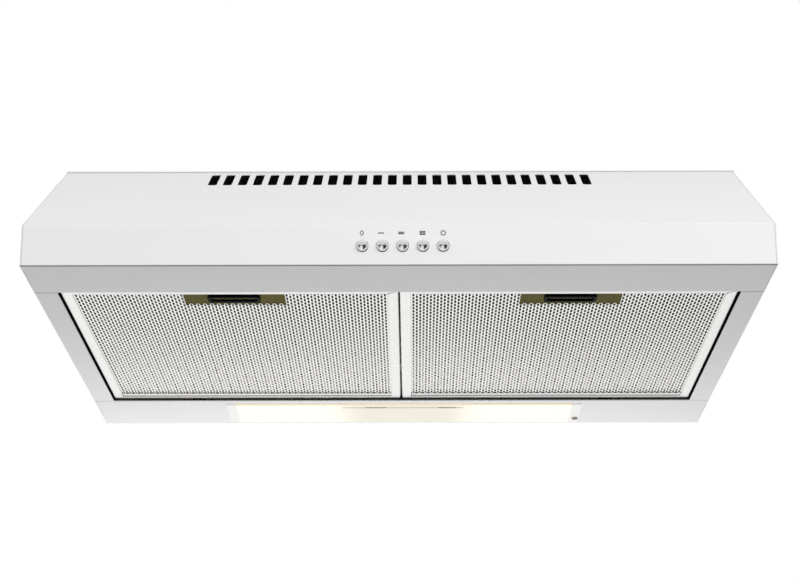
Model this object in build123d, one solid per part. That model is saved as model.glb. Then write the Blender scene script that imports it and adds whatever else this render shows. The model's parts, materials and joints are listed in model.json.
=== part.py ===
"""Under-cabinet range hood, 600 mm wide: a folded steel canopy with two latched grease filters, a lamp,
five push buttons and a double-inlet blower under a round duct collar.

Frame: X to the right, Y towards the wall, Z up. The origin is the centre of the four cabinet screw
holes, on the outer face of the top panel. All lengths are in millimetres.
"""

import math
import os

from build123d import *

# ---- Driving dimensions of the whole hood ----
WIDTH = 600.0
DEPTH = 500.0
HEIGHT = 155.0
BACK_Y = 150.0  # wall side, measured from the screw pattern's centre
FRONT_Y = BACK_Y - DEPTH
SHEET = 1.0  # thickness of all folded sheet steel
BEND = 1.6  # outside radius of a fold
FIT_GAP = 0.2  # free gap between neighbouring sheets

HALF = WIDTH / 2
BOTTOM = -HEIGHT
INNER_X = HALF - SHEET  # inner face of a side panel

# ---- Canopy profile ----
FASCIA_H = 35.0
SLOPE_RUN = 193.0  # how far the sloping front runs back
LIP_DEPTH = 69.0  # front strip of the underside
LIP_RETURN = 9.0
TOP_FLANGE = 14.0
FASCIA_TOP = BOTTOM + FASCIA_H
SLOPE_TOP_Y = FRONT_Y + SLOPE_RUN
LIP_END = FRONT_Y + LIP_DEPTH

# ---- Recirculation slots near the top of the slope ----
SLOT_COUNT = 26
SLOT_PITCH = 13.1
SLOT_W = 7.9
SLOT_L = 50.0
SLOT_START = 11.5  # from the slope's top edge
SLOT_CORNER = 2.8

# ---- Underside ----
SIDE_FLANGE = 19.0
FRONT_SEAM = 0.08  # gap between the lip and a side flange
REAR_SEAM = 0.8  # gap between a side flange and the lamp panel
WELD_FLANGE = 11.0  # hidden flanges of the side panels
LAMP_PANEL_Y = BACK_Y - 87.0  # front edge of the lamp panel
LAMP_PANEL_RETURN = 11.0

# ---- Cabinet mounting ----
SCREW_X = 530.0
SCREW_Y = 200.0
SCREW_HOLE_R = 3.25
PILOT_R = 1.65  # holes for the hood's own sheet-metal screws

# ---- Push buttons ----
BUTTON_NAMES = ("button_stop", "button_low", "button_medium", "button_high", "button_light")
BUTTON_PITCH = 16.1
BUTTON_GROUP_X = 3.4
BUTTON_Z = BOTTOM + 16.6
BUTTON_R = 5.0  # foot of the tapered cap
BUTTON_NOSE_R = 3.6
BUTTON_PROUD = 5.6
BUTTON_DOME = 2.0  # rounding of the nose
BUTTON_TRAVEL = 3.0
BUTTON_HOLE_R = 5.2
SHANK_R = 2.6

# ---- Grease filters ----
FILTER_W = 279.0
FILTER_FRONT = FRONT_Y + 72.0
FILTER_REAR = FRONT_Y + 410.4
FILTER_T = 9.0
FILTER_LOW = BOTTOM + 2.0  # underside of the filter frame
FILTER_MID = 140.15  # filter centre from the hood's centre
FRAME_BAR = 9.0
FRAME_WALL = 1.2
MESH_T = 0.5
MEDIA_T = 0.35
MEDIA_STEP = 5.0  # half the pitch of the corrugated inner layer
GROOVE = 6.0  # how far the mesh stack sits inside the frame bars

# ---- Filter latch ----
LATCH_X = FILTER_MID + 2.4  # the latch is a little off the filter's centre
LATCH_W = 86.0
LATCH_L = 33.6
LATCH_SHEET = 0.8
LATCH_LOW = FILTER_LOW + 1.9  # underside of the latch plate, just above the outer mesh
LATCH_TRAVEL = 6.0
GRIP_W = 43.6
GRIP_L = 16.0
GRIP_Y = FRONT_Y + 94.0
TONGUE_W = 24.0
SPRING_X = 18.0
HOOK_X = 58.0  # rear hooks from the filter's centre
HOOK_W = 27.0
PRONG_W = 6.5  # each hook ends in two prongs
HOOK_Z = BOTTOM + 3.1  # hooks' middle, which is the filter's hinge line
HOOK_Y = LAMP_PANEL_Y + SHEET / 2

# ---- Lamp ----
LENS_X = 2.3
LENS_W = 350.0
LENS_L = 67.0
LENS_Y = BACK_Y - 41.5
LENS_FLANGE = 1.2
LENS_SCREW_X = 173.5
LENS_SCREW_Y = BACK_Y - 24.0
LAMP_HOLE_W = 328.0
LAMP_HOLE_L = 60.0
TRAY_H = 44.0
BULB_R = 16.5
BULB_Z = BOTTOM + 22.5

# ---- Blower ----
BLOWER_Y = -5.0
BLOWER_Z = -74.0
WHEEL_R = 45.0
WHEEL_HALF = 62.0
SCROLL_HALF = 68.0
SCROLL_STEP = 9.0  # growth of the scroll's radius each quarter turn
SCROLL_R = 52.5
BLADES = 32
BLOWER_FIX_X = 54.0
INLET_R = 41.0
SHAFT_R = 4.0
MOTOR_R = 36.0
MOTOR_X0 = -144.0
MOTOR_X1 = -92.0

# ---- Duct collar ----
DUCT_Y = 30.0
DUCT_R = 62.5
DUCT_WALL = 1.8
DUCT_H = 34.0
COLLAR_BASE = 152.0
COLLAR_T = 1.5
FLAP_Z = 12.0
FLAP_T = 1.2
PIN_R = 1.5

# ---- Electrical parts ----
BOX_X = -215.0
BOX_Y = 112.0
BOX_W = 90.0
BOX_L = 60.0
BOX_H = 34.0
GLAND_R = 4.5
CABLE_R = 2.6


# ---- Small helpers ----
def block(x0, x1, y0, y1, z0, z1):
    """A box between two corners."""
    return Pos((x0 + x1) / 2, (y0 + y1) / 2, (z0 + z1) / 2) * Box(x1 - x0, y1 - y0, z1 - z0)


def rod(start, direction, radius, length):
    """A cylinder that runs from a point along a direction."""
    low = (Align.CENTER, Align.CENTER, Align.MIN)
    return Plane(origin=start, z_dir=direction) * Cylinder(radius, length, align=low)


def tube(start, direction, outer, inner, length):
    """A round tube that runs from a point along a direction."""
    return rod(start, direction, outer, length) - rod(start, direction, inner, length)


def shifted(points, distance):
    """The points of an open outline moved sideways by a distance, to the left of its direction."""
    runs = [Vector(*b) - Vector(*a) for a, b in zip(points, points[1:])]
    normals = [Vector(-run.Y, run.X).normalized() for run in runs]
    moved = [Vector(*points[0]) + normals[0] * distance]
    for corner, before, after in zip(points[1:-1], normals, normals[1:]):
        bisector = before + after
        moved.append(Vector(*corner) + bisector * (2 * distance / bisector.length**2))
    moved.append(Vector(*points[-1]) + normals[-1] * distance)
    return [(p.X, p.Y) for p in moved]


def folded(points, x0, x1, thickness=SHEET, bend=BEND):
    """Sheet folded along X. The points give its outside face in (y, z), with the metal on their left."""
    ends = len(points) - 2
    radii = [0, *[bend] * ends, 0, 0, *[bend - thickness] * ends, 0]
    outline = FilletPolyline(*points, *reversed(shifted(points, thickness)), radius=radii, close=True)
    return extrude(Plane.YZ.offset(x0) * make_face(outline), amount=x1 - x0)


def mirrored(shape):
    """The same piece on the other side of the hood."""
    return mirror(shape, about=Plane.YZ)


def screw(seat, direction, head_r=3.2, head_h=1.8, shank_r=1.6, length=6.0):
    """Pan-head screw: the head stands on the seat against the direction in which the shank goes in."""
    head = rod(seat, Vector(*direction) * -1, head_r, head_h)
    head = fillet(head.edges().filter_by(GeomType.CIRCLE).sort_by(lambda e: e.length)[-1:], 0.1)
    outer = Vector(*seat) - Vector(*direction) * head_h
    recess = Plane(origin=outer, z_dir=direction)
    cross = recess * Box(head_r * 1.1, 0.7, 1.6) + recess * Box(0.7, head_r * 1.1, 1.6)
    return head - cross + rod(seat, direction, shank_r, length)


# ---- Canopy and body panels ----
def slope_plane():
    """Plane on the sloping front: X along the hood, Y up the slope, Z outwards."""
    along = Vector(0, SLOPE_RUN, -SHEET - FASCIA_TOP)
    outward = Vector(1, 0, 0).cross(along)
    return Plane(origin=(0, SLOPE_TOP_Y, -SHEET), x_dir=(1, 0, 0), z_dir=outward)


def canopy_outline():
    """Outside face of the folded front in (y, z), from the top flange down to the lip's return."""
    return [
        (SLOPE_TOP_Y + TOP_FLANGE, -SHEET),
        (SLOPE_TOP_Y, -SHEET),
        (FRONT_Y, FASCIA_TOP),
        (FRONT_Y, BOTTOM),
        (LIP_END, BOTTOM),
        (LIP_END, BOTTOM + LIP_RETURN),
    ]


def front_canopy():
    """Sloping front, fascia and front lip in one folded sheet, with the air slots and button holes."""
    skin = folded(canopy_outline(), -INNER_X + FIT_GAP, INNER_X - FIT_GAP)
    slot = RectangleRounded(SLOT_W, SLOT_L, SLOT_CORNER)
    middle = -SLOT_START - SLOT_L / 2
    slots = [
        Pos((i - (SLOT_COUNT - 1) / 2) * SLOT_PITCH, middle) * slot for i in range(SLOT_COUNT)
    ]
    skin -= extrude(slope_plane() * Sketch(children=slots), amount=4 * SHEET, both=True)
    for x in button_places():
        skin -= rod((x, FRONT_Y - 1, BUTTON_Z), (0, 1, 0), BUTTON_HOLE_R, 4)
    for keeper in (LATCH_X, LATCH_X - 2 * FILTER_MID):
        half = TONGUE_W / 2 + 1
        z = FILTER_LOW + 4.4
        skin -= block(keeper - half, keeper + half, LIP_END - 3, LIP_END + 1, z - 2, z + 2)
    return skin


def side_panel():
    """Left side panel with its flanges folded inwards: some are seen from below, the rest are welded on."""
    outline = Polyline(
        (FRONT_Y, BOTTOM), (FRONT_Y, FASCIA_TOP), (SLOPE_TOP_Y, -SHEET), (BACK_Y, -SHEET),
        (BACK_Y, BOTTOM), close=True,
    )
    plate = extrude(Plane.YZ.offset(-HALF) * make_face(outline), amount=SHEET)
    plate = fillet(plate.edges().filter_by(Axis.X).group_by(Axis.Y)[0], 1.0)
    low = block(
        -HALF, -HALF + SIDE_FLANGE, LIP_END + FRONT_SEAM, LAMP_PANEL_Y - REAR_SEAM, BOTTOM, BOTTOM + SHEET
    )
    weld = -INNER_X + WELD_FLANGE
    top = block(-HALF, weld, SLOPE_TOP_Y + TOP_FLANGE + 1, BACK_Y - 14, -2 * SHEET, -SHEET)
    rear = block(-HALF, weld, BACK_Y - 2 * SHEET, BACK_Y - SHEET, BOTTOM + 12, -3 * SHEET)
    floor = block(-HALF, weld, LAMP_PANEL_Y + 3, BACK_Y - 14, BOTTOM + SHEET, BOTTOM + 2 * SHEET)
    front = folded(shifted(canopy_outline()[1:-1], SHEET), -HALF, weld)
    front -= block(-INNER_X, weld + 1, LIP_END - 3, LIP_END + 1, BOTTOM, BOTTOM + 4)
    front -= block(-INNER_X, weld + 1, SLOPE_TOP_Y - 3, SLOPE_TOP_Y + 2, -6, 0)
    panel = plate + low + top + rear + floor + front
    fold = [
        e for e in panel.edges().filter_by(Axis.Y)
        if abs(e.center().X + HALF) < 0.01 and abs(e.center().Z - BOTTOM) < 0.01
    ]
    return fillet(fold, 0.8)


def top_panel():
    """Flat top panel with the cabinet screw holes, the blower outlet and the cable hole."""
    panel = block(-HALF, HALF, SLOPE_TOP_Y - SHEET, BACK_Y, -SHEET, 0)
    for x in (-SCREW_X / 2, SCREW_X / 2):
        for y in (-SCREW_Y / 2, SCREW_Y / 2):
            panel -= rod((x, y, -2), (0, 0, 1), SCREW_HOLE_R, 4)
    panel -= block(-SCROLL_HALF + 2, SCROLL_HALF - 2, BLOWER_Y - 3.5, BLOWER_Y + 74, -2, 1)
    for x, y in screw_corners() + blower_fixings():
        panel -= rod((x, y, -2), (0, 0, 1), PILOT_R, 4)
    return panel - rod((BOX_X, BOX_Y, -2), (0, 0, 1), GLAND_R + 3, 4)


def back_panel():
    """Rear wall with folded flanges at the top and bottom."""
    points = [
        (BACK_Y - 8, BOTTOM + SHEET),
        (BACK_Y, BOTTOM + SHEET),
        (BACK_Y, -SHEET),
        (BACK_Y - 12, -SHEET),
    ]
    return folded(points, -INNER_X + FIT_GAP, INNER_X - FIT_GAP)


def lamp_panel():
    """Rear part of the underside, with the lamp opening and the slots for the filters' rear hooks."""
    points = [
        (LAMP_PANEL_Y, BOTTOM + LAMP_PANEL_RETURN),
        (LAMP_PANEL_Y, BOTTOM),
        (BACK_Y, BOTTOM),
    ]
    panel = folded(points, -INNER_X + FIT_GAP, INNER_X - FIT_GAP, bend=1.2)
    hole = (LENS_X - LAMP_HOLE_W / 2, LENS_X + LAMP_HOLE_W / 2)
    panel -= block(*hole, LENS_Y - LAMP_HOLE_L / 2, LENS_Y + LAMP_HOLE_L / 2, BOTTOM - 1, BOTTOM + 2)
    panel -= rod((LENS_SCREW_X, LENS_SCREW_Y, BOTTOM - 1), (0, 0, 1), PILOT_R, 4)
    for x in hook_places():
        half = HOOK_W / 2 + 1
        panel -= block(x - half, x + half, LAMP_PANEL_Y - 1, LAMP_PANEL_Y + 2, HOOK_Z - 2.0, HOOK_Z + 2.4)
    return panel


# ---- Lamp ----
def lamp_tray():
    """White reflector box above the lens, open below, with a flange that rests on the lamp panel."""
    x0, x1 = LENS_X - LAMP_HOLE_W / 2 - 4, LENS_X + LAMP_HOLE_W / 2 + 4
    y0, y1 = LENS_Y - LAMP_HOLE_L / 2 - 4, LENS_Y + LAMP_HOLE_L / 2 + 0.6
    z0 = BOTTOM + SHEET
    wall = 0.8
    tray = block(x0, x1, y0, y1, z0, z0 + TRAY_H)
    tray -= block(x0 + wall, x1 - wall, y0 + wall, y1 - wall, z0 - 1, z0 + TRAY_H - wall)
    ends = block(x0 - 5, x0 + wall, y0, y1, z0, z0 + wall) + block(x1 - wall, x1 + 5, y0, y1, z0, z0 + wall)
    for x in (x0 - 1, x1 + 1):
        tray -= rod((x, LENS_Y, BULB_Z), (1, 0, 0), 9, 3)
        tray -= rod((x - 3, LENS_Y, BULB_Z), (1, 0, 0), 9, 3)
    return tray + ends - rod((LENS_SCREW_X, LENS_SCREW_Y, z0 - 1), (0, 0, 1), PILOT_R, 4)


def lamp_lens():
    """Moulded lens: a thin flange against the panel and a shallow body inside the lamp opening."""
    x0, x1 = LENS_X - LENS_W / 2, LENS_X + LENS_W / 2
    y0, y1 = LENS_Y - LENS_L / 2, LENS_Y + LENS_L / 2
    inset = 0.6
    bx0, bx1 = LENS_X - LAMP_HOLE_W / 2 + inset, LENS_X + LAMP_HOLE_W / 2 - inset
    by0, by1 = LENS_Y - LAMP_HOLE_L / 2 + inset, LENS_Y + LAMP_HOLE_L / 2 - inset
    flange = block(x0, x1, y0, y1, BOTTOM - LENS_FLANGE, BOTTOM)
    flange = fillet(flange.edges().filter_by(Axis.Z), 2.5)
    flange = fillet(flange.faces().sort_by(Axis.Z)[0].edges(), 0.5)
    body = block(bx0, bx1, by0, by1, BOTTOM, BOTTOM + 4)
    body -= block(bx0 + 1.5, bx1 - 1.5, by0 + 1.5, by1 - 1.5, BOTTOM, BOTTOM + 5)
    return flange + body - rod((LENS_SCREW_X, LENS_SCREW_Y, BOTTOM - 2), (0, 0, 1), 1.7, 4)


def lamp_socket(side):
    """Screw-shell lamp holder, pushed through the end of the tray."""
    end = LENS_X + side * (LAMP_HOLE_W / 2 + 4)
    body = tube((end - side * 30, LENS_Y, BULB_Z), (side, 0, 0), 13, 7.2, 29)
    neck = rod((end - side * 1, LENS_Y, BULB_Z), (side, 0, 0), 8.8, 9)
    floor = rod((end - side * 3, LENS_Y, BULB_Z), (side, 0, 0), 13, 2)
    return body + neck + floor


def bulb(side):
    """Small candle bulb on its side: a screw cap and a glass envelope turned about its axis."""
    cap = LENS_X + side * (LAMP_HOLE_W / 2 - 1)
    profile = Polyline((0, 0), (0, 6.8), (23, 6.8)) + Spline(
        (23, 6.8), (46, BULB_R), (76, 7.5), (88, 0), tangents=((1, 0.15), (0, -1))
    ) + Line((88, 0), (0, 0))
    body = revolve(make_face(profile), Axis.X, 360)
    turn = Rot(0, 0, 180) if side > 0 else Rot(0, 0, 0)
    return Pos(cap, LENS_Y, BULB_Z) * turn * body


# ---- Grease filters, drawn for the right-hand bay ----
def filter_bounds():
    """Outer limits of the filter frame in X and Y."""
    return FILTER_MID - FILTER_W / 2, FILTER_MID + FILTER_W / 2, FILTER_FRONT, FILTER_REAR


def filter_frame():
    """Rolled aluminium channel around the mesh stack, with an exit for the latch tongue."""
    x0, x1, y0, y1 = filter_bounds()
    z0, z1 = FILTER_LOW, FILTER_LOW + FILTER_T
    frame = block(x0, x1, y0, y1, z0, z1)
    frame = fillet(frame.edges().filter_by(Axis.Z), 2.0)
    frame = fillet(frame.faces().sort_by(Axis.Z)[0].edges(), 1.0)
    frame -= block(x0 + FRAME_BAR, x1 - FRAME_BAR, y0 + FRAME_BAR, y1 - FRAME_BAR, z0 - 1, z1 + 1)
    side = FRAME_BAR - GROOVE
    frame -= block(x0 + side, x1 - side, y0 + side, y1 - side, z0 + FRAME_WALL, z1 - FRAME_WALL)
    half = TONGUE_W / 2 + 0.6
    z = z0 + 4.4
    return frame - block(LATCH_X - half, LATCH_X + half, y0 - 1, y0 + side + 1, z - 1.7, z + 1.7)


def latch_recess():
    """Space that every layer of the mesh stack leaves for the latch tray."""
    half = LATCH_W / 2 + 0.2
    rear = FILTER_FRONT + FRAME_BAR + LATCH_L + 0.2
    return block(LATCH_X - half, LATCH_X + half, FILTER_FRONT, rear, FILTER_LOW, FILTER_LOW + FILTER_T)


def mesh_layer(z0, z1):
    """One flat layer of the mesh stack, cut out where the latch tray stands."""
    x0, x1, y0, y1 = filter_bounds()
    side = FRAME_BAR - GROOVE
    return block(x0 + side, x1 - side, y0 + side, y1 - side, z0, z1) - latch_recess()


def corrugated_layer(z0, z1):
    """Corrugated inner layer that keeps the two flat layers apart. Its folds run front to back."""
    x0, x1, y0, y1 = filter_bounds()
    side = FRAME_BAR - GROOVE
    count = int((x1 - x0 - 2 * side) / MEDIA_STEP)
    start = FILTER_MID - count * MEDIA_STEP / 2
    levels = (z0, z1 - 1.5 * MEDIA_T)
    folds = [(start + i * MEDIA_STEP, levels[i % 2]) for i in range(count + 1)]
    outline = Polyline(*folds, *reversed(shifted(folds, MEDIA_T)), close=True)
    layer = extrude(Plane.XZ.offset(-y1 + side) * make_face(outline), amount=y1 - y0 - 2 * side)
    return layer - latch_recess()


def latch_plate():
    """Plated steel tray that carries the latch: a plate with a window and walls on three sides."""
    y0 = FILTER_FRONT + FRAME_BAR
    y1 = y0 + LATCH_L
    z0 = LATCH_LOW
    z1 = FILTER_LOW + FILTER_T - FRAME_WALL
    x0, x1 = LATCH_X - LATCH_W / 2, LATCH_X + LATCH_W / 2
    plate = block(x0, x1, y0, y1, z0, z0 + LATCH_SHEET)
    walls = block(x0, x1, y0, y1, z0, z1)
    walls -= block(x0 + LATCH_SHEET, x1 - LATCH_SHEET, y0 - 1, y1 - LATCH_SHEET, z0 - 1, z1 + 1)
    half = GRIP_W / 2 - 3.4
    window = block(LATCH_X - half, LATCH_X + half, GRIP_Y - 7, GRIP_Y + 7.4, z0 - 1, z0 + 2)
    return plate + walls - window


def latch_slider():
    """Black moulded latch: a grip ring below the plate, a neck, a sliding body and a tongue."""
    plate_low = LATCH_LOW
    ring = Pos(LATCH_X, GRIP_Y, plate_low - 1.2) * Box(GRIP_W, GRIP_L, 2.2)
    ring = fillet(ring.edges().filter_by(Axis.Z), 3.5)
    ring = fillet(ring.faces().sort_by(Axis.Z)[0].edges(), 0.6)
    neck_half = GRIP_W / 2 - 4.0
    body_low = plate_low + LATCH_SHEET + 0.1
    neck = block(
        LATCH_X - neck_half, LATCH_X + neck_half, GRIP_Y - 6.6, GRIP_Y + 1, plate_low - 1, body_low + 1
    )
    body = block(LATCH_X - 27, LATCH_X + 27, GRIP_Y - 10, GRIP_Y + 4, body_low, body_low + 4)
    z = FILTER_LOW + 4.4
    tip = LIP_END + 0.6
    tongue = block(LATCH_X - TONGUE_W / 2, LATCH_X + TONGUE_W / 2, tip, GRIP_Y - 9, z - 1.3, z + 1.3)
    tongue = chamfer(tongue.faces().sort_by(Axis.Y)[0].edges().filter_by(Axis.X).sort_by(Axis.Z)[:1], 0.8)
    slider = ring + neck + body + tongue
    finger = RectangleRounded(GRIP_W - 5, 7.5, 2.5)
    return slider - Pos(LATCH_X, GRIP_Y, plate_low - 2.4) * extrude(finger, amount=1.8)


def latch_springs():
    """Two compression springs between the slider and the tray's rear wall."""
    start = GRIP_Y + 4.1
    end = FILTER_FRONT + FRAME_BAR + LATCH_L - LATCH_SHEET - 0.1
    wire = 0.35
    coil_r = 1.55
    pitch = (end - start - 2 * wire) / 6
    springs = []
    for x in (-SPRING_X, SPRING_X):
        helix = Helix(pitch, pitch * 6, coil_r)
        section = Plane(origin=helix @ 0, z_dir=helix % 0) * Circle(wire)
        coil = sweep(section, path=helix, is_frenet=True)
        place = Plane(origin=(LATCH_X + x, start + wire, LATCH_LOW + 2.9), z_dir=(0, 1, 0))
        springs.append(place * coil)
    return Compound(children=springs)


def filter_hooks():
    """Two plated hooks at the filter's rear edge, each with two prongs that pass through the lamp panel."""
    hooks = []
    for x in (-HOOK_X, HOOK_X):
        x0, x1 = FILTER_MID + x - HOOK_W / 2, FILTER_MID + x + HOOK_W / 2
        hook = block(x0, x1, FILTER_REAR, FILTER_REAR + 0.8, HOOK_Z - 0.5, FILTER_LOW + 7)
        hook += block(x0, x1, FILTER_REAR, FILTER_REAR + 1.6, HOOK_Z - 0.5, HOOK_Z + 0.5)
        for left in (x0, x1 - PRONG_W):
            prong = block(left, left + PRONG_W, FILTER_REAR, HOOK_Y + 6, HOOK_Z - 0.5, HOOK_Z + 0.5)
            hook += fillet(prong.edges().filter_by(Axis.Z).group_by(Axis.Y)[-1], 2.0)
        hooks.append(hook)
    return Compound(children=hooks)


def hook_places():
    """X of the four hook slots."""
    return [side * FILTER_MID + x for side in (-1, 1) for x in (-HOOK_X, HOOK_X)]


# ---- Push buttons ----
def button_places():
    """X of the five buttons, from the left."""
    return [BUTTON_GROUP_X + (i - 2) * BUTTON_PITCH for i in range(5)]


def button(x):
    """Plated button: a tapered cap with a rounded nose, a shank, and a collar that stops it falling out."""
    nose = FRONT_Y - BUTTON_PROUD
    stop = FRONT_Y + SHEET + 0.2
    foot = Plane(origin=(x, stop, BUTTON_Z), z_dir=(0, -1, 0))
    low = (Align.CENTER, Align.CENTER, Align.MIN)
    cap = foot * Cone(BUTTON_R, BUTTON_NOSE_R, stop - nose, align=low)
    cap = fillet(cap.faces().sort_by(Axis.Y)[0].edges(), BUTTON_DOME)
    collar = rod((x, stop, BUTTON_Z), (0, 1, 0), BUTTON_HOLE_R + 0.7, 1.2)
    return cap + collar + rod((x, stop + 1, BUTTON_Z), (0, 1, 0), SHANK_R, 12)


def switch_block():
    """Moulded switch bank behind the fascia, with a well for each button's shank."""
    half = 2 * BUTTON_PITCH + 11
    y0 = FRONT_Y + SHEET + BUTTON_TRAVEL + 3.2
    block_body = block(BUTTON_GROUP_X - half, BUTTON_GROUP_X + half, y0, y0 + 24, BUTTON_Z - 10, BUTTON_Z + 10)
    for x in button_places():
        block_body -= rod((x, y0 - 1, BUTTON_Z), (0, 1, 0), SHANK_R + 0.05, 15)
    for x in button_places():
        block_body += block(x - 2.4, x - 1.6, y0 + 24, y0 + 30, BUTTON_Z - 1.5, BUTTON_Z + 1.5)
        block_body += block(x + 1.6, x + 2.4, y0 + 24, y0 + 30, BUTTON_Z - 1.5, BUTTON_Z + 1.5)
    return block_body


def switch_bracket():
    """Folded strap that holds the switch bank against the back of the fascia."""
    half = 2 * BUTTON_PITCH + 11.3
    x0, x1 = BUTTON_GROUP_X - half, BUTTON_GROUP_X + half
    y0, y1 = FRONT_Y + SHEET, FRONT_Y + SHEET + BUTTON_TRAVEL + 27.4
    strap = block(x0 - SHEET, x1 + SHEET, y0, y1 + SHEET, BUTTON_Z - 7, BUTTON_Z + 7)
    strap -= block(x0, x1, y0 - 1, y1, BUTTON_Z - 8, BUTTON_Z + 8)
    strap -= block(x0 + 8, x1 - 8, y1 - 1, y1 + 2, BUTTON_Z - 4, BUTTON_Z + 4)
    for side, x in ((-1, x0 - SHEET), (1, x1 + SHEET)):
        ear = sorted((x, x + side * 9))
        strap += block(*ear, y0, y0 + SHEET, BUTTON_Z - 7, BUTTON_Z + 7)
    return strap


# ---- Blower ----
def scroll_face(growth=0.0):
    """Air passage of the scroll in (y, z): three quarter arcs of growing radius and the outlet's two sides."""
    y1, z1 = BLOWER_Y - SCROLL_STEP / 2, BLOWER_Z - SCROLL_STEP / 2
    r1, r2, r3 = (SCROLL_R + i * SCROLL_STEP for i in range(3))
    c2, c3 = (y1 + SCROLL_STEP, z1), (y1 + SCROLL_STEP, z1 + SCROLL_STEP)
    top = 10.0
    outline = Line((y1, top), (y1, z1 + r1))
    outline += CenterArc((y1, z1), r1, 90, 90)
    outline += CenterArc(c2, r2, 180, 90)
    outline += CenterArc(c3, r3, 270, 90)
    outline += Line((c3[0] + r3, c3[1]), (c3[0] + r3, top))
    outline += Line((c3[0] + r3, top), (y1, top))
    face = make_face(outline)
    return offset(face, amount=growth) if growth else face


def blower_scroll():
    """Spiral wall of the blower, with flanges at its mouth that fix it under the top panel."""
    ring = Plane.YZ.offset(-SCROLL_HALF) * (scroll_face(SHEET) - scroll_face())
    wall = extrude(ring, amount=2 * SCROLL_HALF)
    wall -= block(-HALF, HALF, FRONT_Y, BACK_Y, -SHEET, 40)
    y_front = BLOWER_Y - SCROLL_STEP / 2 - SHEET
    y_rear = BLOWER_Y + SCROLL_STEP / 2 + SCROLL_R + 2 * SCROLL_STEP + SHEET
    front = block(-SCROLL_HALF, SCROLL_HALF, y_front - 11, y_front, -2 * SHEET, -SHEET)
    rear = block(-SCROLL_HALF, SCROLL_HALF, y_rear, y_rear + 11, -2 * SHEET, -SHEET)
    scroll = wall + front + rear
    for x, y in blower_fixings():
        scroll -= rod((x, y, -3), (0, 0, 1), PILOT_R, 4)
    return scroll


def blower_fixings():
    """Places of the four screws that hold the blower's flanges under the top panel."""
    front = BLOWER_Y - SCROLL_STEP / 2 - SHEET - 5.5
    rear = BLOWER_Y + SCROLL_STEP / 2 + SCROLL_R + 2 * SCROLL_STEP + SHEET + 5.5
    return [(x, y) for x in (-BLOWER_FIX_X, BLOWER_FIX_X) for y in (front, rear)]


def blower_side(side):
    """Side plate of the blower with a belled inlet ring."""
    face = Plane.YZ * scroll_face(SHEET)
    plate = extrude(face, amount=SHEET)
    plate -= block(-HALF, HALF, FRONT_Y, BACK_Y, -SHEET, 40)
    centre = (0, BLOWER_Y, BLOWER_Z)
    plate -= rod((-1, BLOWER_Y, BLOWER_Z), (1, 0, 0), INLET_R, 4)
    bell = Cone(INLET_R + 1, INLET_R + 6, 6, align=(Align.CENTER, Align.CENTER, Align.MIN))
    bell -= Cone(INLET_R, INLET_R + 5, 6, align=(Align.CENTER, Align.CENTER, Align.MIN))
    ring = Plane(origin=centre, z_dir=(1, 0, 0)) * bell
    plate += ring
    placed = Pos(SCROLL_HALF, 0, 0) * plate
    return placed if side > 0 else mirrored(placed)


def impeller():
    """Double-width wheel: forward-curved blades between two end rings and a middle disc with a hub."""
    axis = Plane(origin=(-WHEEL_HALF, BLOWER_Y, BLOWER_Z), z_dir=(1, 0, 0))
    width = 2 * WHEEL_HALF
    outer, inner = WHEEL_R, WHEEL_R - 8
    blade_path = ThreePointArc((inner, 0), ((inner + outer) / 2, 1.6), (outer - 0.4, 5.2))
    blade = make_face(offset(blade_path, amount=0.9, side=Side.RIGHT, closed=True))
    blades = [Rot(0, 0, i * 360 / BLADES) * blade for i in range(BLADES)]
    wheel = extrude(Sketch(children=blades), amount=width)
    for z in (0, width - 3):
        wheel += Pos(0, 0, z) * extrude(Circle(outer + 0.2) - Circle(outer - 4), amount=3)
    wheel += Pos(0, 0, width / 2 - 1) * extrude(Circle(outer), amount=2)
    wheel += Pos(0, 0, width / 2 - 12) * extrude(Circle(10), amount=24)
    wheel -= extrude(Circle(SHAFT_R), amount=width)
    return axis * wheel


def motor_housing():
    """Motor shell with rounded end bells and cooling slots."""
    length = MOTOR_X1 - MOTOR_X0
    axis = Plane(origin=(MOTOR_X0, BLOWER_Y, BLOWER_Z), z_dir=(1, 0, 0))
    low = (Align.CENTER, Align.CENTER, Align.MIN)
    shell = Cylinder(MOTOR_R, length, align=low)
    shell = fillet(shell.edges().filter_by(GeomType.CIRCLE), 6)
    shell -= Pos(0, 0, 2) * Cylinder(MOTOR_R - 2, length - 4, align=low)
    boss = Pos(0, 0, -4) * Cylinder(9, 6.5, align=low)
    boss += Pos(0, 0, length - 2.5) * Cylinder(9, 6.5, align=low)
    shell += boss
    for i in range(10):
        slot = Pos(MOTOR_R * 0.58, 0, 0) * Box(16, 4, 5)
        shell -= Rot(0, 0, i * 36) * slot
    shell -= Pos(0, 0, -10) * Cylinder(SHAFT_R + 0.05, length + 20, align=low)
    return axis * shell


def motor_stator():
    """Laminated stator ring with its windings."""
    x = (MOTOR_X0 + MOTOR_X1) / 2
    stack = tube((x - 13, BLOWER_Y, BLOWER_Z), (1, 0, 0), MOTOR_R - 2, 21, 26)
    windings = tube((x - 20, BLOWER_Y, BLOWER_Z), (1, 0, 0), 31, 23, 40)
    return stack + windings


def motor_rotor():
    """Rotor stack pressed on the shaft."""
    x = (MOTOR_X0 + MOTOR_X1) / 2
    return tube((x - 14, BLOWER_Y, BLOWER_Z), (1, 0, 0), 20.6, SHAFT_R, 28)


def motor_shaft():
    """Shaft through the motor and the wheel's hub, with a flat for the hub's clamp."""
    start = MOTOR_X0 - 7
    return rod((start, BLOWER_Y, BLOWER_Z), (1, 0, 0), SHAFT_R, 14 - start)


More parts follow.
